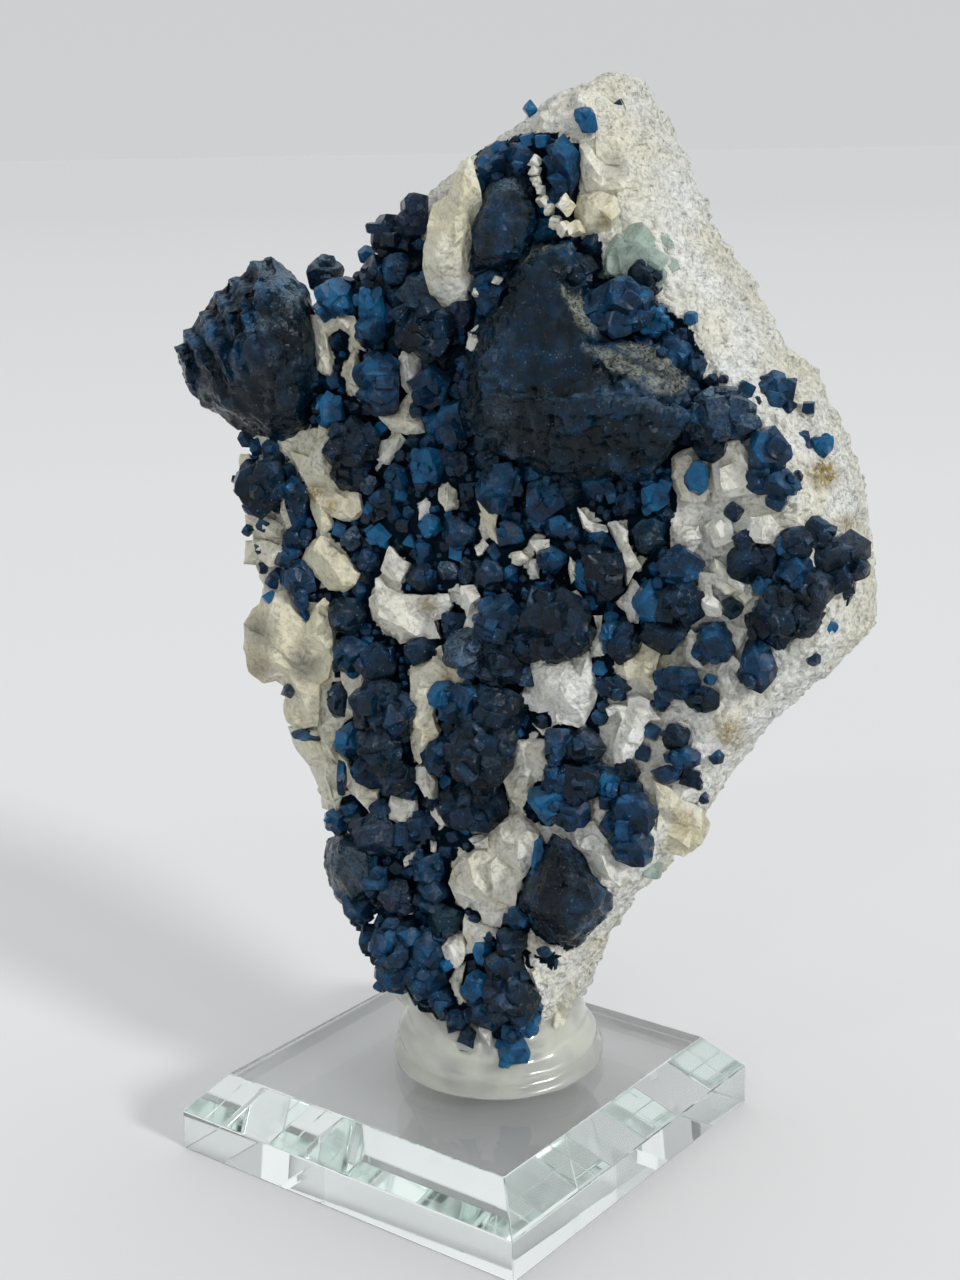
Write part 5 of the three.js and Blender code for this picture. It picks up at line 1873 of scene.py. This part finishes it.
                # Painted light: sprouts that point up get a lighter tone.
                cast = self.tinted(crystal.cast, 0.1, 0.05 * max(out[2], 0.0))
                halves = [size * self.chance.uniform(0.8, 1.25) for _ in range(3)]
                heap.add(self.chance.choice(self.small), random_turn(self.chance), halves, centre, cast)

    def scatter(self) -> list[Crystal]:
        """Chooses the place, size and look of every crystal.

        Returns:
            The crystals, the named ones first.
        """
        named = self.named()
        filled = self.fill(named)
        LOG.info("blue crystals: %d named, %d filled", len(named), len(filled))
        return [*named, *filled]

    def build(self, crystals: Sequence[Crystal]) -> None:
        """Builds the crust in three pieces, from the bottom up.

        Args:
            crystals: All the crystals.
        """
        sheet = BlueFinish().sheet()
        for name, low, high in self.layers:
            heap = Heap()
            for crystal in crystals:
                if low <= crystal.z < high:
                    large = crystal.radius >= self.sprout_from
                    seat = self.add_body(heap, crystal, self.large if large else self.small)
                    if large:
                        self.add_sprouts(heap, crystal, seat)
            settle(heap.to_object(name), self.rock.slab, sheet, self.named_nodes)
        self.build_giants(sheet)

    def build_giants(self, sheet: Sheet) -> None:
        """Builds the crystals that are large enough to have faces of their own.

        Args:
            sheet: The blue material.
        """
        for giant in GIANTS:
            piece = giant.build(self.rock.slab)
            settle(piece, self.rock.slab, sheet, ["blue_cluster_01"], smooth=32.0)


@dataclass(frozen=True)
class Giant:
    """A large crystal, given by the corners of its blocks on the reading plane with each one's depth n."""

    name: str
    blocks: Sequence[Sequence[tuple[float, float, float]]]
    voxel: float = 0.33
    tone: float = 0.2
    frost: float = 0.15
    hue: float = 0.6
    etch: float = 0.3
    chip: float = 3.2
    rib_edge: tuple[Place, Place] | None = None
    rib_pitch: float = 2.2
    rib_depth: float = 0.45
    rib_reach: float = 5.5
    soft_edge: float = 1.6
    broad_size: float = 5.0
    fine_chip: float = 0.9
    fine_size: float = 1.2
    saw_back: float = 0.85
    smooth_face: Outline = ()
    frosted: Sequence[tuple[float, float, float]] = ()
    dusty: Sequence[Sequence[tuple[float, float, float]]] = ()

    def ribs(self, places: np.ndarray, wander: np.ndarray) -> tuple[np.ndarray, np.ndarray]:
        """The ribs that run inwards from one edge.

        Args:
            places: Rows of (u, z) on the reading plane.
            wander: How far the ribs wander, in ribs.

        Returns:
            The ribs' height and how near the edge each place is, both from 0 to 1.
        """
        start, end = (np.array(corner) for corner in self.rib_edge)
        along = (end - start) / np.hypot(*(end - start))
        inward = (places - start) @ np.array((along[1], -along[0]))
        phase = ((places - start) @ along) / self.rib_pitch + 0.09 * inward + wander
        saw = phase - np.floor(phase)
        near = np.clip(1.25 - inward / self.rib_reach, 0.0, 1.0)
        return np.minimum(saw / self.saw_back, (1.0 - saw) / (1.0 - self.saw_back)) * near, near

    def dust(self, places: np.ndarray) -> np.ndarray:
        """How much dust lies at each place along the dusty ledges.

        Args:
            places: Rows of (u, z) on the reading plane.

        Returns:
            One cover for each place, from 0 to 1.
        """
        cover = np.zeros(len(places))
        for ledge in self.dusty:
            for (u1, z1, wide1), (u2, z2, wide2) in zip(ledge, ledge[1:]):
                along, gap = from_line(places, np.array((u1, z1)), np.array((u2, z2)))
                wide = wide1 + (wide2 - wide1) * along
                cover = np.maximum(cover, np.clip(self.soft_edge - gap / wide, 0.0, 1.0))
        return cover

    def build_blank(self, slab: SlabFrame) -> bpy.types.Object:
        """Builds the crystal's blocks as one closed mesh with flat faces.

        Args:
            slab: The slab's frame.

        Returns:
            The mesh, in the slab's frame.
        """
        hulls = []
        for corners in self.blocks:
            rows = np.array(corners, float)
            true_u, true_z = slab.along_sight(rows[:, 0], rows[:, 1], rows[:, 2])
            hull = new_mesh(self.name, np.column_stack((true_u, -rows[:, 2], true_z)))
            with editing(hull):
                bpy.ops.mesh.convex_hull()
                face_outwards()
            hulls.append(hull)
        piece = join_all(hulls, self.name)
        apply_modifier(piece, "REMESH", mode="VOXEL", voxel_size=self.voxel)
        return piece

    def build(self, slab: SlabFrame) -> bpy.types.Object:
        """Builds the crystal and etches its faces.

        Args:
            slab: The slab's frame.

        Returns:
            The closed mesh, in the slab's frame.
        """
        piece = self.build_blank(slab)
        points = vertices_of(piece)
        places = slab.to_reading(points)
        calm = np.zeros(len(points))
        if len(self.smooth_face):
            calm = np.clip(Region(self.smooth_face).depth(places) / 0.8 + 0.3, 0.0, 1.0)
        broad = fractal(points, self.broad_size)
        etched = 1.1 * chips(points, self.chip) + 0.7 * chips(points, self.chip * 0.45)
        etched += 0.3 * chips(points, self.fine_chip)
        fine = 0.35 * fractal(points, self.fine_size)
        offsets = self.etch * (1.0 - 0.9 * calm) * (etched + 1.5 * broad + fine)
        tone = self.tone + 0.22 * broad
        if self.rib_edge is not None:
            heights, near = self.ribs(places, 0.8 * fractal(points, 9.0, 1) + 0.25 * broad)
            points[:, 1] -= self.rib_depth * heights
            place_vertices(piece, points)
            offsets += 0.25 * self.rib_depth * (heights - 0.4 * near)
            # Lighter blue along the ribbed edge, and a painted highlight on each rib's crest.
            tone += 0.36 * near * (0.3 + heights)
        move_out(piece, offsets)
        tone = np.clip(tone + 0.12 * calm, 0.0, 1.0)
        # Frost: real frosting, which the blue material also uses for a painted sheen on up-facing faces.
        frost = np.clip(np.maximum(self.frost + 0.3 * broad, spots(places, self.frosted, self.soft_edge)), 0.0, 1.0)
        # Painted shade and light: lift is low in the etched hollows and high on raised parts, so the blue material
        # darkens the hollows.
        lift = np.clip(0.5 + 0.6 * offsets / self.etch, 0.0, 1.0)
        hue = np.full(len(points), self.hue)
        paint(piece, "cast", np.column_stack((tone, frost, hue, lift)))
        dust = self.dust(places) * np.clip(0.75 + 0.8 * fractal(points, 0.9, 2), 0.0, 1.0)
        paint(piece, "dust", np.column_stack([dust] * 4))
        return piece


GIANTS = (
    Giant(
        name="giant_left",
        blocks=[[
            (-20, 107.5, 8.6), (-22, 106.8, 8.6), (-24.8, 105, 8.6), (-28, 102.8, 8.6), (-31, 99.5, 8.8),
            (-33, 97.2, 9), (-33.1, 95.4, 9), (-32.5, 93.3, 8.8), (-30.4, 90.5, 8.6), (-27, 88.7, 8), (-22, 86.2, 8),
            (-19.5, 85.8, 8), (-16, 87, 7), (-15.2, 89, 7), (-14.8, 99, 7), (-15.6, 103.5, 7), (-17.6, 105.6, 7),
            (-21.5, 104.2, 12.8), (-25.8, 101.2, 13.2), (-29.8, 96.8, 12.6), (-30.2, 94.6, 12.4),
            (-26.8, 90.2, 12.8), (-22, 88.2, 13.2), (-18, 89.6, 13.4), (-16.6, 98, 13.8), (-17.8, 102.4, 13.2),
            (-24.5, 97.5, 15.4), (-20, 92.5, 15.4), (-20.4, 99.5, 15.6), (-19, 102.6, -2), (-23.4, 99, -2),
            (-24.6, 94, -2), (-21.6, 89.8, -2), (-17, 91, -2), (-16.5, 99, -2),
        ]],
        rib_edge=((-33.3, 97.3), (-20, 107.8)), rib_pitch=2.9, rib_depth=1.1, rib_reach=7.5, tone=0.13,
        frost=0.05, etch=0.34, chip=4.6,
        frosted=[(-20.6, 106.6, 1.3), (-18.6, 104.6, 2.0), (-17, 102.8, 1.4), (-22, 99.5, 1.0), (-21, 96.3, 0.8),
                 (-33, 95.6, 0.6), (-31.8, 92.4, 0.6), (-28.8, 89.8, 0.5)],
    ),
    Giant(
        name="giant_centre",
        blocks=[
            [
                (9, 107, 9), (12.5, 109, 10), (15.6, 108.6, 9), (17, 103.5, 7), (19, 98.5, 7), (20, 92, 7),
                (5, 104, 7), (2.2, 98, 7), (2.4, 93, 8), (9.5, 105, 13.6), (11.5, 106.8, 13.3),
                (13.5, 105.5, 14.1), (14.8, 102.5, 15.2), (16, 100, 16.2), (17.8, 96.5, 17.6), (17.4, 92.6, 18.4),
                (12, 91, 18), (7, 91.4, 17.1), (5.2, 94, 16.2), (6.5, 98, 15.3), (8, 101, 14.6),
                (10, 100, 2), (4, 91, 2), (14, 88, 4),
            ],
            [
                (16, 103.4, 7), (21, 99.4, 8), (26, 98.4, 8), (28.8, 96.6, 7), (29.6, 93, 7), (28.6, 90, 7),
                (24, 87, 8), (16, 88, 8), (17.4, 98.4, 13.4), (18.4, 96.7, 16.2), (21.6, 96, 16.1),
                (26, 94.8, 14.8), (28.4, 92.6, 11.6), (25, 90, 15), (18, 92, 18.4), (20, 95, 2), (26, 92, 2),
            ],
            [
                (2.1, 92, 8), (3.5, 89, 8), (5, 87, 8), (8.5, 85.5, 8), (13, 83.9, 8), (19, 84.2, 8), (25, 84.8, 8),
                (28.6, 90, 8), (4.8, 92.8, 15.8), (4.4, 89.5, 14.6), (8, 87.3, 15.4), (14, 86, 16.2),
                (20, 86, 16.4), (25, 87.8, 15.8), (27.6, 91.5, 14.6), (12, 92.6, 19), (18, 92.9, 19.4),
                (8, 92.8, 17.8), (23, 92.4, 17.6), (10, 88, 2), (22, 88, 2), (12, 96, 6), (22, 95, 6),
            ],
        ],
        tone=0.16, frost=0.04, hue=0.65, etch=0.6, chip=4.4,
        smooth_face=[
            (11.5, 106.8), (13.5, 105.5), (14.8, 102.5), (16, 100), (17.8, 96.5), (17, 95), (12, 93.7),
            (8, 93.8), (5.5, 95), (6.5, 98), (8, 101), (9.5, 105),
        ],
        frosted=[(7, 91, 1.4), (5.5, 88.2, 0.8), (8, 86.8, 0.8), (6.8, 105, 0.9), (4.5, 103.6, 0.7)],
        dusty=[
            [(9.3, 106.6, 0.3), (11.2, 107.6, 0.4), (13, 108.5, 0.5), (15.4, 108.6, 0.6)],
            [(14.3, 104.4, 0.3), (15.6, 103, 0.6), (17.4, 101.4, 0.9), (18.2, 99.8, 0.6)],
            [(16.6, 98.4, 0.25), (18.3, 97.6, 0.5), (20, 97, 0.6), (21.7, 96.3, 0.6), (23.5, 95.2, 0.8),
             (25, 94.8, 0.8), (27, 94.8, 0.6)],
            [(20.6, 98.2, 0.4), (24, 97.4, 0.6), (26.8, 96.6, 0.7)],
        ],
    ),
    Giant(
        name="giant_upper",
        blocks=[[
            (6, 115.6, 9), (9, 115.8, 9), (11.5, 113.5, 9), (12, 110.5, 9), (10, 107, 9), (8, 105.5, 9),
            (3, 104.8, 9), (2.5, 107, 9), (3.8, 111, 9), (4.8, 113.5, 9), (6.6, 114.3, 13.4), (9, 114.2, 13.6),
            (10.6, 112, 13.8), (9.6, 108.6, 14.2), (5, 107, 13.6), (5.2, 111, 14.4), (6, 114, 3),
            (10, 113, 3), (10, 108, 3), (4, 106, 3),
        ]],
        tone=0.22, etch=0.24, chip=2.4, frosted=[(8.2, 115.3, 1.1), (10, 114.6, 0.8), (4.6, 108.5, 0.6)],
    ),
    Giant(
        name="giant_lower",
        blocks=[[
            (12.6, 44.8, 9), (15, 43.6, 9), (17, 40.8, 9), (19.8, 38, 9), (19.2, 36, 9), (17, 33.6, 9),
            (15.8, 31.2, 9), (12, 31.9, 9), (8.2, 33.6, 9), (8, 35.6, 9), (9.4, 39, 9), (11.2, 42.2, 9),
            (13, 42.8, 13), (16.4, 39.6, 14), (17.6, 36.8, 13.6), (14.8, 33, 13.6), (10.4, 34.8, 13.4),
            (11.8, 39.4, 14.4), (13, 42, 4), (17, 37, 4), (13, 33, 4), (9, 36, 4),
        ]],
        tone=0.14, hue=0.5, etch=0.28, chip=2.4, frosted=[(15, 39, 0.7), (16, 32.4, 0.6)],
    ),
    Giant(
        name="giant_green_core",
        blocks=[[
            (-16.6, 39.6, 6), (-14, 41, 7), (-10.4, 40, 8), (-9.2, 36.4, 8), (-10, 32.6, 7), (-13, 30.6, 6),
            (-15.6, 32.4, 5), (-17, 36, 5), (-14.6, 39, 11), (-11.2, 38.6, 12), (-10.8, 34.6, 11.6),
            (-13.4, 32.6, 10.6), (-15.4, 35.6, 10.4), (-14, 37, 1), (-11, 36, 2),
        ]],
        tone=0.45, frost=0.2, hue=0.9, etch=0.2, chip=2.2,
        frosted=[(-13, 36.4, 2.4), (-16, 37, 1.0), (-15.6, 33.6, 0.7)],
    ),
)


@dataclass
class GreenPatch:
    """The pale green crystals near the summit."""

    rock: RockSlab
    seed: int = 3
    places: Sequence[tuple[float, float, float]] = (
        (19.8, 106.4, 1.3), (20.6, 108.2, 1.6), (22.2, 107.2, 2.1), (23.9, 106.9, 1.7), (25.1, 108.4, 1.4),
        (22.6, 109.2, 1.5), (24.4, 105.4, 1.2), (21.2, 105.3, 1.1), (26, 106.4, 1.0), (24, 42, 1.5),
    )

    def build(self) -> None:
        """Builds the green crystals as one piece."""
        chance = random.Random(self.seed)
        moulds = [Mould.cast(CrystalForm(0.66, 1.2, 0.9, 80 + i, 1)) for i in range(3)]
        heap = Heap()
        for u, z, size in self.places:
            seat = self.rock.seat(u, z, 0.1 * size)
            halves = [size * chance.uniform(1.0, 1.3), size * 0.7, size * chance.uniform(1.0, 1.3)]
            heap.add(chance.choice(moulds), random_turn(chance), halves, seat, (0.0, 0.0, 0.0))
        piece = heap.to_object("green_crystals")
        settle(piece, self.rock.slab, GreenFinish().sheet(), ["green_crystal_1"])


@dataclass(frozen=True)
class GlassPlate:
    """The square glass plate with four bevelled top edges."""

    side: float = 50.0
    upright: float = 5.0
    bevel_drop: float = 4.5
    bevel_inset: float = 4.1
    edge: float = 0.12

    def build(self) -> None:
        """Builds the plate from a cube: its upright part, and its top drawn up and in."""
        deselect_all()
        bpy.ops.mesh.primitive_cube_add(size=1.0)
        plate = bpy.context.object
        plate.name = "bevelled_plate"
        plate.scale = (self.side, self.side, self.upright)
        plate.location = (0.0, 0.0, self.upright / 2.0)
        bpy.ops.object.transform_apply(location=True, rotation=True, scale=True)
        with editing(plate):
            bpy.ops.mesh.select_all(action="DESELECT")
            bpy.ops.mesh.select_mode(type="FACE")
            bpy.ops.object.mode_set(mode="OBJECT")
            for face in plate.data.polygons:
                face.select = face.normal.z > 0.5
            bpy.ops.object.mode_set(mode="EDIT")
            bpy.ops.mesh.extrude_region_move(TRANSFORM_OT_translate={"value": (0.0, 0.0, self.bevel_drop)})
            share = (self.side - 2.0 * self.bevel_inset) / self.side
            bpy.ops.transform.resize(value=(share, share, 1.0), center_override=(0.0, 0.0, 0.0))
            bpy.ops.mesh.select_all(action="SELECT")
            bpy.ops.mesh.bevel(offset=self.edge, segments=2, affect="EDGES")
            face_outwards()
        plate.data.transform(Matrix.Scale(MM, 4))
        plate.data.update()
        GlassFinish().sheet().dress(plate)
        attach(plate, "root")
        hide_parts("glass_base")
        LOG.info("%s: %d vertices", plate.name, len(plate.data.vertices))


@dataclass(frozen=True)
class PuttyMound:
    """The mound of milky putty that holds the specimen's tip, with coils round its foot."""

    slab: SlabFrame
    foot: float = 9.52
    steps: int = 96
    coil_height: float = 10.4
    tilt: float = 0.9
    wave: float = 0.45
    dents: float = 0.3
    unround: float = 0.02
    profile: Outline = (
        (0, 0), (11.4, 0), (12.6, 0.3), (13, 1.1), (12.7, 2), (11.9, 2.6), (12.1, 3.1), (12.2, 3.9), (11.5, 4.6),
        (11, 5), (10.8, 5.8), (10.9, 6.6), (10.4, 7.8), (9.4, 9), (7.8, 10), (4, 10.4), (0, 10.5),
    )

    def build(self) -> None:
        """Spins the profile round, then makes the coils uneven."""
        points = [(radius, 0.0, self.foot + height) for radius, height in self.profile]
        mound = new_mesh("putty_body", points)
        mound.data.edges.add(len(points) - 1)
        for i, edge in enumerate(mound.data.edges):
            edge.vertices = (i, i + 1)
        with editing(mound):
            bpy.ops.mesh.spin(steps=self.steps, angle=math.tau, center=(0.0, 0.0, 0.0), axis=(0.0, 0.0, 1.0))
            bpy.ops.mesh.select_all(action="SELECT")
            bpy.ops.mesh.remove_doubles(threshold=0.01)
            face_outwards()
        apply_modifier(mound, "SUBSURF", levels=1, render_levels=1)
        rows = vertices_of(mound)
        angle = np.arctan2(rows[:, 1], rows[:, 0])
        share = np.clip((rows[:, 2] - self.foot) / self.coil_height, 0.0, 1.0)
        wave = 0.5 * np.sin(angle * 2.0 + 1.0) + 0.3 * np.sin(angle * 3.0 + share * 6.0)
        rise = np.clip(share * 6.0, 0.0, 1.0)
        coil = np.sin(angle - 0.6) * np.clip(4.0 * share * (1.0 - share), 0.0, 1.0)
        dents = self.dents * fractal(rows, 5.0, 2)
        rows[:, 2] += rise * (self.wave * wave * (1.0 - share) + self.tilt * coil + dents)
        radial = 1.0 + self.unround * rise * (wave + fractal(rows, 4.0, 2))
        rows[:, :2] *= radial[:, None]
        place_vertices(mound, rows)
        settle(mound, self.slab, PuttyFinish().sheet(), ["putty_mound"], smooth=60.0)


def main() -> None:
    """Builds the specimen piece by piece."""
    logging.basicConfig(level=logging.INFO, format="%(name)s: %(message)s")
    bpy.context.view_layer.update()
    slab = SlabFrame()
    rock = RockSlab(slab)
    Stage().build()
    GlassPlate().build()
    PuttyMound(slab).build()
    crust = BlueCrust(rock)
    crystals = crust.scatter()
    rock.build(crystals)
    crust.build(crystals)
    GreenPatch(rock).build()


if __name__ == "__main__":
    main()
